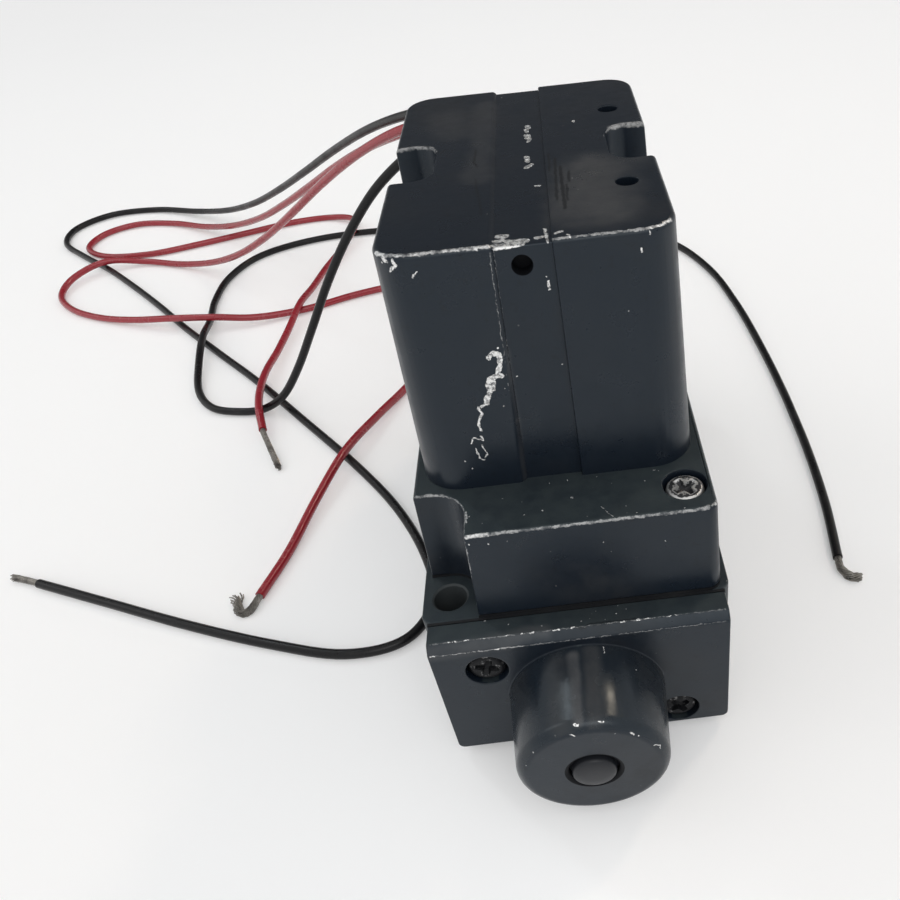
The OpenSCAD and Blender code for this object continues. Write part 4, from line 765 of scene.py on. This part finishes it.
def casting(name, node, edge, finishes, choose, inside, roots=(), rounds=(), round_r=0.0):
    """Casting from a CAD node: corners in rounds by round_r, others by edge but inside, roots filled."""
    shape = bmesh.new()
    shape.from_mesh(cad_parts[node].data)
    bmesh.ops.remove_doubles(shape, verts=shape.verts, dist=1e-6)
    bmesh.ops.dissolve_limit(shape, angle_limit=math.radians(FLAT_ANGLE), verts=shape.verts,
                             edges=shape.edges)
    for face in shape.faces:
        face.material_index = 0
    worn = len(finishes)

    def sharp_edges():
        return [e for e in shape.edges
                if len(e.link_faces) == 2 and e.calc_face_angle() > math.radians(CORNER_ANGLE)]

    def ease(edges, width, segments, index):
        if edges:
            bmesh.ops.bevel(shape, geom=edges, offset=width * MM, offset_type="OFFSET", segments=segments,
                            profile=0.5, affect="EDGES", material=index)

    ease([e for e in sharp_edges() if e.is_convex and within(e, rounds)], round_r, 5, -1)
    sharp = sharp_edges()
    filled = [e for e in sharp if not e.is_convex and within(e, roots)]
    ease([e for e in sharp if e.is_convex and not within(e, inside)], edge, 2, worn)
    ease([e for e in filled if e.is_valid], edge, 2, -1)
    for face in shape.faces:
        face.material_index = choose(face.calc_center_median(), face.normal, face.material_index == worn)
    mesh = to_mesh(name, shape)
    for old in [a for a in mesh.attributes if a.name == "custom_normal"]:
        mesh.attributes.remove(old)
    piece = new_piece(name, mesh, finishes, "housing", "paint", node)
    even = piece.modifiers.new("Even shading", "WEIGHTED_NORMAL")
    even.keep_sharp = True


def swatch(label, what, default):
    """Setting for a colour."""
    return FloatVectorProperty(name=label, description=what, default=default, subtype="COLOR")


def measure(label, what, default, **kind):
    """Setting for a number, with its unit or subtype."""
    return FloatProperty(name=label, description=what, default=default, **kind)


class ValveStage(bpy.types.PropertyGroup):
    """Floor and lights"""

    floor_side: measure("Floor side", "Side of the square floor", 6.0, unit="LENGTH")
    floor_colour: swatch("Floor", "Colour of the pale floor", (0.76, 0.76, 0.76))
    floor_glow: measure("Floor glow", "Light that the floor itself gives off", 0.225)
    sky: measure("Sky", "Strength of the even light from all round", 0.85)
    dark_wall: measure("Dark wall", "Share of the sky left low down at the back", 0.16, subtype="FACTOR")
    window: measure("Window", "Power of the large soft light above the camera", 8.5, unit="POWER")
    side_window: measure("Side window", "Power of the soft light on the left", 1.6, unit="POWER")
    back_window: measure("Back window", "Power of the warm light behind on the right", 0.16, unit="POWER")
    left_window: measure("Left window", "Power of the light behind on the left", 0.12, unit="POWER")


class ValveFinish(bpy.types.PropertyGroup):
    """Colours and gloss of the finishes"""

    paint: swatch("Paint", "Dark enamel of the castings", (0.0066, 0.0106, 0.0174))
    haze: swatch("Haze", "Dull bloom on the enamel", (0.022, 0.0215, 0.022))
    dust: swatch("Dust", "Specks of dust", (0.16, 0.16, 0.16))
    # Dust colour, partly painted light that lifts ledges, tops and the boss
    dust_and_painted_light: swatch("Film", "Film of dust on the ledges", (0.03, 0.039, 0.041))
    # Colour of the painted sheen: reflected light and highlights painted onto the enamel
    pale_sheen: swatch("Bloom", "Dull patches on the cover", (0.05, 0.051, 0.053))
    paint_gloss: measure("Paint gloss", "Specular level of the enamel", 0.36, subtype="FACTOR")
    paint_tint: swatch("Paint tint", "Tint of the enamel's shine", (0.86, 0.95, 1.0))
    dull_metal: swatch("Dull metal", "Bare metal in the shade", (0.3, 0.3, 0.3))
    bright_metal: swatch("Bright metal", "Bare metal where it shines", (0.85, 0.85, 0.84))
    red: swatch("Red insulation", "Colour of the red leads", (0.28, 0.013, 0.023))
    black: swatch("Black insulation", "Colour of the black leads", (0.0055, 0.0054, 0.0062))


class ValveSizes(bpy.types.PropertyGroup):
    """Sizes of what is added to the frame, in mm"""

    edge: measure("Casting edge", "Width of a casting's eased corner", 0.3)
    corner_round: measure("Corner round", "Radius of the end caps' lower corners", 1.2)
    lead_d: measure("Lead", "Diameter of a lead's insulation", 2.1)
    route_steps: IntProperty(name="Route steps", description="Points from one place of a route to the next",
                             default=8)
    strand_d: measure("Strand", "Diameter of one strand of a bare end", 0.3)
    strand_turn: measure("Strand turn", "Length of one turn of the strands", 9.0)
    head_d: measure("Screw head", "Diameter of a screw head", 6.0)
    head_h: measure("Head height", "Height of a screw head", 2.6)
    shank_d: measure("Screw shank", "Diameter of a screw's shank", 3.4)
    recess_w: measure("Recess width", "Width of a cross recess's wing", 0.95)
    recess_span: measure("Recess span", "Span of a cross recess", 3.6)
    recess_depth: measure("Recess depth", "Depth of a cross recess", 1.2)


def add_light(name, power, place, target, sides, tint, spread):
    """Soft rectangular light that faces a target and spreads by an angle."""
    light = bpy.data.lights.new(name, "AREA")
    light.shape = "RECTANGLE"
    light.size, light.size_y = sides
    light.energy = power
    light.color = tint
    light.spread = math.radians(spread)
    lamp = bpy.data.objects.new(name, light)
    lamp.location = place
    lamp.rotation_euler = (Vector(target) - Vector(place)).to_track_quat("-Z", "Y").to_euler()
    bpy.context.scene.collection.objects.link(lamp)


class VALVE_OT_stage(bpy.types.Operator):
    """Make the floor, the light and the camera"""

    bl_idname = "valve.stage"
    bl_label = "Stage"

    def execute(self, context):
        scene = context.scene
        stage = scene.valve_stage
        scene.view_settings.view_transform = "Standard"
        world = bpy.data.worlds.new("Soft light")
        world.use_nodes = True
        tree = Tree(world.node_tree)
        way = tree.add("ShaderNodeTexCoord").outputs["Generated"]
        low_behind = tree.vector("DOT_PRODUCT", way, (0.0, 0.94, 0.34))
        sky = world.node_tree.nodes["Background"]
        sky.inputs["Color"].default_value = (1.0, 1.0, 1.0, 1.0)
        tree.feed(sky.inputs["Strength"],
                  tree.remap(low_behind, 0.5, 0.93, stage.sky, stage.sky * stage.dark_wall))
        scene.world = world
        shape = bmesh.new()
        bmesh.ops.create_grid(shape, x_segments=4, y_segments=4, size=stage.floor_side / 2)
        floor = bpy.data.objects.new("floor", to_mesh("floor", shape))
        scene.collection.objects.link(floor)
        finish, tree, place, feeds = new_finish("Pale floor", 0.1, 0.02)
        mottle = tree.noise(place, 30.0, 3.0)[0]
        pale = [0.99 * c for c in stage.floor_colour]
        tree.feed(feeds["Colour"], tree.mix(mottle, pale, stage.floor_colour))
        feeds["Roughness"].default_value = 0.9
        feeds["Glow"].default_value = stage.floor_glow
        floor.data.materials.append(finish)
        for name, values in LIGHTS.items():
            add_light(name, getattr(stage, name), *values)
        self.add_camera(scene)
        return {"FINISHED"}

    def add_camera(self, scene):
        """Camera at the photograph's viewing point."""
        right = Vector(CAMERA_RIGHT)
        up = -Vector(CAMERA_DOWN)
        lens = bpy.data.cameras.new("camera")
        lens.sensor_width = CAMERA_SENSOR
        lens.lens = CAMERA_SENSOR * FOCAL_PIXELS / IMAGE_SIDE
        lens.shift_x = 0.5 - IMAGE_CENTRE[0] / IMAGE_SIDE
        lens.shift_y = IMAGE_CENTRE[1] / IMAGE_SIDE - 0.5
        lens.clip_start = MM
        camera = bpy.data.objects.new("camera", lens)
        turn = Matrix((right, up, right.cross(up))).transposed().to_4x4()
        camera.matrix_world = Matrix.Translation(mm(*CAMERA_PLACE)) @ turn
        scene.collection.objects.link(camera)
        scene.camera = camera


class VALVE_OT_leads(bpy.types.Operator):
    """Make the four free leads and their bare ends"""

    bl_idname = "valve.leads"
    bl_label = "Leads"

    def execute(self, context):
        sizes = context.scene.valve_sizes
        look = context.scene.valve_finish
        finishes = {
            "red": moulded("Red insulation", look.red, (0.2, 0.03, 0.04), 0.4, 0.012, 0.6),
            "black": moulded("Black insulation", look.black, (0.03, 0.03, 0.032), 0.32, 0.012, 0.27),
        }
        radius = sizes.lead_d / 2 * MM
        for node, places in ROUTES.items():
            route = smooth_route([mm(*p) if len(p) == 3 else mm(*p, LYING_Z) for p in places],
                                 sizes.route_steps)
            for place in route:
                place.x = min(max(place.x, CAD_BOX[0][0] + radius), CAD_BOX[1][0] - radius)
            colour = node.split("_")[0]
            bare = self.bare_end(node, route, sizes)
            curve = bpy.data.curves.new(f"{node}_insulation", "CURVE")
            curve.dimensions = "3D"
            curve.bevel_depth = radius
            curve.bevel_resolution = 6
            curve.use_fill_caps = True
            spline = curve.splines.new("POLY")
            spline.points.add(len(route) - 1)
            for point, place in zip(spline.points, route):
                point.co = (*place, 1.0)
            spline.use_smooth = True
            lead = new_piece(f"{node}_insulation", curve, [finishes[colour]], "housing",
                             f"{colour}_insulation", node)
            tuple(route[0])
            route_length(route)
        return {"FINISHED"}

    def bare_end(self, node, route, sizes):
        """Twisted strands past the end of the insulation, some of them spread."""
        places, spread = BARE_ENDS[node]
        onward = (route[-1] - route[-2]).normalized()
        run = smooth_route([route[-1] - onward * STRAND_TUCK * MM, route[-1],
                            route[-1] + onward * STRAND_STRAIGHT * MM, *(mm(*p) for p in places)],
                           sizes.route_steps)
        total = route_length(run)
        draw = random.Random(sum(ord(letter) for letter in node))
        shape = bmesh.new()
        for strand in range(sum(STRAND_LAYERS)):
            layer = 0 if strand == 0 else 1 if strand <= STRAND_LAYERS[1] else 2
            start_turn = strand * 2 * math.pi / STRAND_LAYERS[layer]
            reach = draw.uniform(0.9, 1.0)
            stray = draw.uniform(0.0, spread) if strand else 0.0
            gone = 0.0
            centres = []
            for n, place in enumerate(run):
                gone += (place - run[n - 1]).length if n else 0.0
                share = gone / total
                if share > reach and centres:
                    break
                ahead, side = heading(run, n)
                turn = start_turn + 2 * math.pi * gone / (sizes.strand_turn * MM)
                away = layer * sizes.strand_d * MM * (1 + STRAND_FLARE * stray * share ** 2)
                centre = place + (side * math.cos(turn) + side.cross(ahead) * math.sin(turn)) * away
                centre.z = max(centre.z, STRAND_FLOOR * MM)
                centres.append(centre)
            self.tube(shape, centres, sizes.strand_d / 2 * MM)
        bmesh.ops.recalc_face_normals(shape, faces=shape.faces)
        return new_piece(f"{node}_strands", to_mesh(f"{node}_strands", shape),
                         [named_finish("Tinned strands")], "housing", "tinned_wire", "bare_lead_ends")

    def tube(self, shape, centres, radius, sides=8):
        """Round strand along its centres, closed at both ends."""
        rings = []
        for n, centre in enumerate(centres):
            ahead, side = heading(centres, n)
            rings.append(ring(shape, centre, radius, side, side.cross(ahead), sides))
        join_rings(shape, rings)
        for end in (rings[0], rings[-1]):
            shape.faces.new(end)


class VALVE_OT_cover(bpy.types.Operator):
    """Make the painted cover casting with its chips, edges worn bright, painted highlights and painted sheen
    """

    bl_idname = "valve.cover"
    bl_label = "Cover"

    def execute(self, context):
        finishes = [painted("Cover enamel"),
                    painted("Cover top enamel", TOP_CHIPS + RIM_CHIPS, TOWER_RUBS_AND_HIGHLIGHTS, TOP_SCUFFS, TOP_PAINTED_SHEEN),
                    painted("Cover front enamel", FRONT_CHIPS + RIM_CHIPS, TOWER_RUBS_AND_HIGHLIGHTS, (), FRONT_PAINTED_SHEEN),
                    painted("Ledge enamel", LEDGE_CHIPS, LEDGE_RUBS_AND_HIGHLIGHTS, dust_and_painted_light=0.8),
                    painted("Ledge front enamel", LEDGE_CHIPS, LEDGE_RUBS_AND_HIGHLIGHTS),
                    painted("Cover edge enamel", edge_share=0.02),
                    named_finish("Bore shade")]
        plain, top, front, ledge, ledge_front, edge, bore = range(len(finishes))
        tower_foot, ledge_foot, ledge_end = 47.2 * MM, 31.0 * MM, -30.0 * MM
        hole = mm(-3.0, -31.1, 79.4), mm(3.0, -28.4, 83.2)

        def choose(centre, normal, worn):
            # Faces in the hole take Bore shade, a painted shade
            if all(low < c < high for low, c, high in zip(hole[0], centre, hole[1])):
                return bore
            faces_up = normal.z > 0.6
            eased = edge if worn else plain
            if centre.z > tower_foot:
                return top if faces_up else front if normal.y < -0.3 else eased
            if centre.z <= ledge_foot:
                return eased
            if faces_up:
                return ledge
            leans = normal.z > 0.2 or normal.y < -0.2
            return ledge_front if leans and centre.y < ledge_end else eased

        casting("cover_casting", "solenoid_cover", context.scene.valve_sizes.edge, finishes, choose,
                COVER_INSIDE)
        return {"FINISHED"}


class VALVE_OT_body(bpy.types.Operator):
    """Make the painted body casting and finish its gaskets"""

    bl_idname = "valve.body"
    bl_label = "Body"

    def execute(self, context):
        # The body's dust is partly painted light that lifts its dark faces
        finishes = [painted("Body enamel", dust_and_painted_light=0.65),
                    painted("Body edge enamel", dust_and_painted_light=0.65, edge_share=0.06), named_finish("Bored wall")]
        plain, edge, wall = range(len(finishes))
        bore_x, bore_y, bore_r = 20.4 * MM, 39.3 * MM, 3.3 * MM

        def choose(centre, normal, worn):
            off = math.hypot(abs(centre.x) - bore_x, abs(centre.y) - bore_y)
            bored = off < bore_r and centre.x * centre.y > 0 and abs(normal.z) < 0.9
            # Mount bores' walls take Bore painted light, a lighter colour painted for light falling into them
            return wall if bored else edge if worn else plain

        casting("body_casting", "valve_body", context.scene.valve_sizes.edge, finishes, choose, BODY_INSIDE)
        for node in ("cover_gasket", "cap_gaskets", "base_gasket"):
            dress(node, named_finish("Gasket sheet"))
        return {"FINISHED"}


class VALVE_OT_end_caps(bpy.types.Operator):
    """Make the two painted end caps"""

    bl_idname = "valve.end_caps"
    bl_label = "End caps"

    def execute(self, context):
        sizes = context.scene.valve_sizes
        plain, edge, boss, boss_face, bore, top = range(6)
        boss_root, bore_r = 50.4 * MM, (3.5 * MM, 4.6 * MM)

        def choose(centre, normal, worn):
            if abs(centre.y) < boss_root:
                return top if normal.z > 0.9 else edge if worn else plain
            # The bore's eased rim takes Bore shade, a painted shadow of the gap round the button
            if bore_r[0] < math.hypot(centre.x, centre.z - AXIS_Z * MM) < bore_r[1]:
                return bore
            return boss_face if abs(normal.y) > 0.9 else boss

        for end, way in (("near", -1), ("far", 1)):
            inside, root, corners = (at_end(way, boxes) for boxes in (CAP_INSIDE, CAP_ROOT, CAP_CORNERS))
            casting(f"{end}_cap_casting", f"{end}_end_cap", sizes.edge, self.enamels(end.title(), way < 0),
                    choose, inside, root, corners, sizes.corner_round)
        return {"FINISHED"}

    def enamels(self, end, seen):
        """Enamel of one cap, worn and with painted sheen and highlights as in the photograph where that end
        is seen in it.
        """
        # Marks: chips, edges worn bright and partly painted highlights, dark scuffs and painted sheen
        wear = (CAP_CHIPS, CAP_RUBS_AND_HIGHLIGHTS, CAP_SCUFFS, CAP_PAINTED_SHEEN) if seen else ()
        chips, pale_sheen = (BOSS_CHIPS, BOSS_PAINTED_HIGHLIGHTS) if seen else ((), ())
        # The boss and cap top dust is partly painted light that lifts their faces
        return [painted(f"{end} cap enamel", *wear),
                painted(f"{end} cap edge enamel", *wear, edge_share=0.04 if seen else 0.08),
                painted(f"{end} boss enamel", chips, pale_sheen=pale_sheen, dust_and_painted_light=0.15, polish=0.12),
                painted(f"{end} boss face enamel", chips), named_finish("Bore shade"),
                painted(f"{end} cap top enamel", *wear, dust_and_painted_light=0.75)]


class VALVE_OT_screws(bpy.types.Operator):
    """Make the cross-head screws of the end caps and the cover"""

    bl_idname = "valve.screws"
    bl_label = "Screws"

    def execute(self, context):
        sizes = context.scene.valve_sizes
        low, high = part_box("cap_screws")
        cap_l = 12.6
        x, upper_z, lower_z = 15.4 * MM, 23.0 * MM, 6.0 * MM
        quarter = math.pi / 2
        rows = (((-x, low[1], upper_z), (quarter, 0.3, 0.0)), ((x, low[1], lower_z), (quarter, 1.0, 0.0)),
                ((x, high[1], upper_z), (-quarter, 0.7, 0.0)), ((-x, high[1], lower_z), (-quarter, 0.2, 0.0)))
        self.screw_set("cap_screw_set", "cap_screws", rows, self.one_screw(sizes, cap_l),
                       named_finish("Blackened screw"))
        low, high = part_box("cover_screws")
        x, y = 18.9 * MM, -37.9 * MM
        rows = ((x, y, high[2]), (0.0, 0.0, 0.55)), ((-x, -y, high[2]), (0.0, 0.0, 0.1))
        self.screw_set("cover_screw_set", "cover_screws", rows,
                       self.one_screw(sizes, (high[2] - low[2]) / MM), named_finish("Worn screw"))
        dress("pilot_plate_screws", named_finish("Plate screw steel"))
        return {"FINISHED"}

    def one_screw(self, sizes, length):
        """One screw along Z, the top of its head at 0: cross recess, rounded rim and ridged shank."""
        shape = bmesh.new()
        wear = shape.verts.layers.float.new("wear")
        depth, wing, span = sizes.recess_depth, sizes.recess_w / 2, sizes.recess_span / 2
        heart = 1.35 * wing
        arm = (span, -wing), (1.03 * span, 0.0), (span, wing), (heart, heart)
        cross = [Matrix.Rotation(turn * math.pi / 2, 2) @ Vector(corner)
                 for turn in range(4) for corner in arm]
        recess = [[shape.verts.new(mm(grow * p.x, grow * p.y, z)) for p in cross]
                  for grow, z in ((1.1, -0.06), (1.0, -0.24), (0.7, -0.75 * depth))]
        join_rings(shape, [*recess, [shape.verts.new(mm(0.0, 0.0, -depth))]])
        radius, shank, head = sizes.head_d / 2, sizes.shank_d / 2, sizes.head_h
        profile = [(0.76 * radius, -0.06), (0.88 * radius, -0.16), (0.96 * radius, -0.38), (radius, -0.8),
                   (radius, -head), (shank, -head)]
        pitch = 0.7
        along = head + 1.2
        while along < length - 1.0:
            profile += [(0.86 * shank, -along), (0.995 * shank, -along - 0.35 * pitch)]
            along += pitch
        profile.append((0.8 * shank, -length))
        across, up, segments, crease = Vector((1, 0, 0)), Vector((0, 1, 0)), 48, 34.0
        rings = [ring(shape, mm(0.0, 0.0, z), r * MM, across, up, segments) for r, z in profile]
        join_rings(shape, rings)
        shape.faces.new(rings[-1])
        pairs = [pair for rim in (recess[0], rings[0]) for pair in zip(rim, [*rim[1:], rim[0]])]
        rims = [shape.edges.get(pair) or shape.edges.new(pair) for pair in pairs]
        bmesh.ops.triangle_fill(shape, use_beauty=True, edges=rims)
        bmesh.ops.recalc_face_normals(shape, faces=shape.faces)
        for row, amount in zip((*recess[:2], *rings[1:4]), (1.0, 0.5, 1.0, 0.9, 0.6)):
            for vert in row:
                vert[wear] = amount
        return to_mesh("one_screw", shape, crease)

    def screw_set(self, name, node, rows, screw_mesh, finish):
        """Screws of one kind, set by a tree of nodes at their places and turns."""
        points = bpy.data.meshes.new(f"{name}_places")
        points.from_pydata([place for place, _ in rows], [], [])
        turns = points.attributes.new("turn", "FLOAT_VECTOR", "POINT")
        turns.data.foreach_set("vector", [angle for _, turn in rows for angle in turn])
        holder = bpy.data.objects.new(f"{name}_places", points)
        screw = bpy.data.objects.new(f"{name}_one", screw_mesh)
        bpy.context.scene.collection.objects.link(holder)
        bpy.context.scene.collection.objects.link(screw)
        tree, keys = self.screw_tree()
        setter = holder.modifiers.new("Screws", "NODES")
        setter.node_group = tree
        setter[keys["Screw"]] = screw
        setter[keys["Size"]] = 1.0
        setter[keys["Finish"]] = finish
        graph = bpy.context.evaluated_depsgraph_get()
        mesh = bpy.data.meshes.new_from_object(holder.evaluated_get(graph), depsgraph=graph)
        mesh.name = name
        mesh.materials.clear()
        for spare in (holder, screw):
            bpy.data.objects.remove(spare)
        if not mesh.polygons:
            raise RuntimeError(f"{name}: no screws were made")
        new_piece(name, mesh, [finish], "housing", "dark_screw", node)

    def screw_tree(self):
        """Node tree that sets one screw at each point, turned as the point says."""
        group = bpy.data.node_groups.new("Screws at points", "GeometryNodeTree")
        keys = {}
        for label, kind in (("Points", "Geometry"), ("Screw", "Object"), ("Size", "Float"),
                            ("Finish", "Material")):
            socket = group.interface.new_socket(name=label, in_out="INPUT", socket_type=f"NodeSocket{kind}")
            keys[label] = socket.identifier
        group.interface.new_socket(name="Screws", in_out="OUTPUT", socket_type="NodeSocketGeometry")
        tree = Tree(group)
        given = tree.add("NodeGroupInput").outputs
        shape = tree.add("GeometryNodeObjectInfo", {"Object": given["Screw"]})
        turn = tree.add("GeometryNodeInputNamedAttribute", {"Name": "turn"}, data_type="FLOAT_VECTOR")
        facing = tree.add("FunctionNodeEulerToRotation", {0: turn.outputs[0]})
        setting = tree.add("GeometryNodeInstanceOnPoints", {
            "Points": given["Points"], "Instance": shape.outputs["Geometry"],
            "Rotation": facing.outputs[0], "Scale": given["Size"]})
        solid = tree.add("GeometryNodeRealizeInstances", {0: setting.outputs[0]})
        coated = tree.add("GeometryNodeSetMaterial", {"Geometry": solid.outputs[0],
                                                      "Material": given["Finish"]})
        tree.feed(tree.add("NodeGroupOutput").inputs[0], coated.outputs[0])
        return group, keys


class VALVE_OT_buttons(bpy.types.Operator):
    """Make the two override buttons and the lead grommet"""

    bl_idname = "valve.buttons"
    bl_label = "Buttons and grommet"

    def execute(self, context):
        face = ((0.0, 0.0), (1.4, 0.03), (2.3, 0.12), (2.9, 0.26), (3.25, 0.42), (3.45, 0.66), (3.52, 0.95),
                (3.52, 1.9))
        stem = ((3.9, 2.2), (3.9, 5.45), (4.1, 5.56), (5.35, 5.56), (5.5, 5.7), (5.5, 6.85), (5.35, 7.0),
                (0.0, 7.0))
        for end, way in (("near", 1.0), ("far", -1.0)):
            low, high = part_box(f"{end}_override_button")
            tip = low[1] if way > 0 else high[1]
            mesh = turned(f"{end}_button", face + stem, (0.0, tip, AXIS_Z * MM), (0.0, way, 0.0))
            new_piece(f"{end}_button", mesh, [named_finish("Satin acetal")], f"{end}_override", "button",
                      f"{end}_override_button")
        low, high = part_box("lead_grommet")
        middle = ((low[0] + high[0]) / 2, high[1], (low[2] + high[2]) / 2)
        length = (high[1] - low[1]) / MM
        collar = (0.0, 0.15), (3.4, 0.12), (3.7, 0.0), (4.15, 0.03), (4.4, 0.2), (5.3, 1.9), (5.48, 2.1)
        barrel = (5.48, 2.2), (4.25, 2.2), (4.25, length - 0.3), (4.0, length), (0.0, length)
        new_piece("grommet", turned("grommet", collar + barrel, middle, (0.0, -1.0, 0.0)),
                  [named_finish("Black rubber")], "housing", "rubber", "lead_grommet")
        return {"FINISHED"}


def dress(node, finish):
    """Gives a CAD node that stays in the scene its finish."""
    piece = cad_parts[node]
    if not piece.material_slots:
        piece.data.materials.append(finish)
    for slot in piece.material_slots:
        slot.material = finish


class VALVE_OT_works(bpy.types.Operator):
    """Finish the spool, the pistons and the solenoids inside"""

    bl_idname = "valve.works"
    bl_label = "Inner works"

    def execute(self, context):
        for name, nodes in WORKS.items():
            for node in nodes:
                both = (f"near_{node}", f"far_{node}")
                for piece in (node,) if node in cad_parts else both:
                    dress(piece, named_finish(name))
        return {"FINISHED"}


class VALVE_PT_panel(bpy.types.Panel):
    """Lists the valve's sizes, finishes and pieces"""

    bl_idname = "VALVE_PT_panel"
    bl_label = "Valve"
    bl_space_type = "VIEW_3D"
    bl_region_type = "UI"
    bl_category = "Valve"

    def draw(self, context):
        for group in (context.scene.valve_stage, context.scene.valve_finish, context.scene.valve_sizes):
            box = self.layout.box()
            for name in group.__annotations__:
                box.prop(group, name)
        for step in STEPS:
            self.layout.operator(step.bl_idname)


STEPS = (VALVE_OT_stage, VALVE_OT_leads, VALVE_OT_cover, VALVE_OT_body, VALVE_OT_end_caps,
         VALVE_OT_screws, VALVE_OT_buttons, VALVE_OT_works)
GROUPS = {"valve_stage": ValveStage, "valve_finish": ValveFinish, "valve_sizes": ValveSizes}
CLASSES = (*GROUPS.values(), *STEPS, VALVE_PT_panel)


def register():
    """Registers the classes and the scene's settings."""
    for part in CLASSES:
        bpy.utils.register_class(part)
    for name, group in GROUPS.items():
        setattr(bpy.types.Scene, name, PointerProperty(type=group))


def unregister():
    """Removes the scene's settings and the classes."""
    for name in GROUPS:
        delattr(bpy.types.Scene, name)
    for part in reversed(CLASSES):
        bpy.utils.unregister_class(part)


def main():
    """Makes every piece in order."""
    register()
    for step in STEPS:
        area, operator = step.bl_idname.split(".")
        getattr(getattr(bpy.ops, area), operator)()


if __name__ == "__main__":
    main()
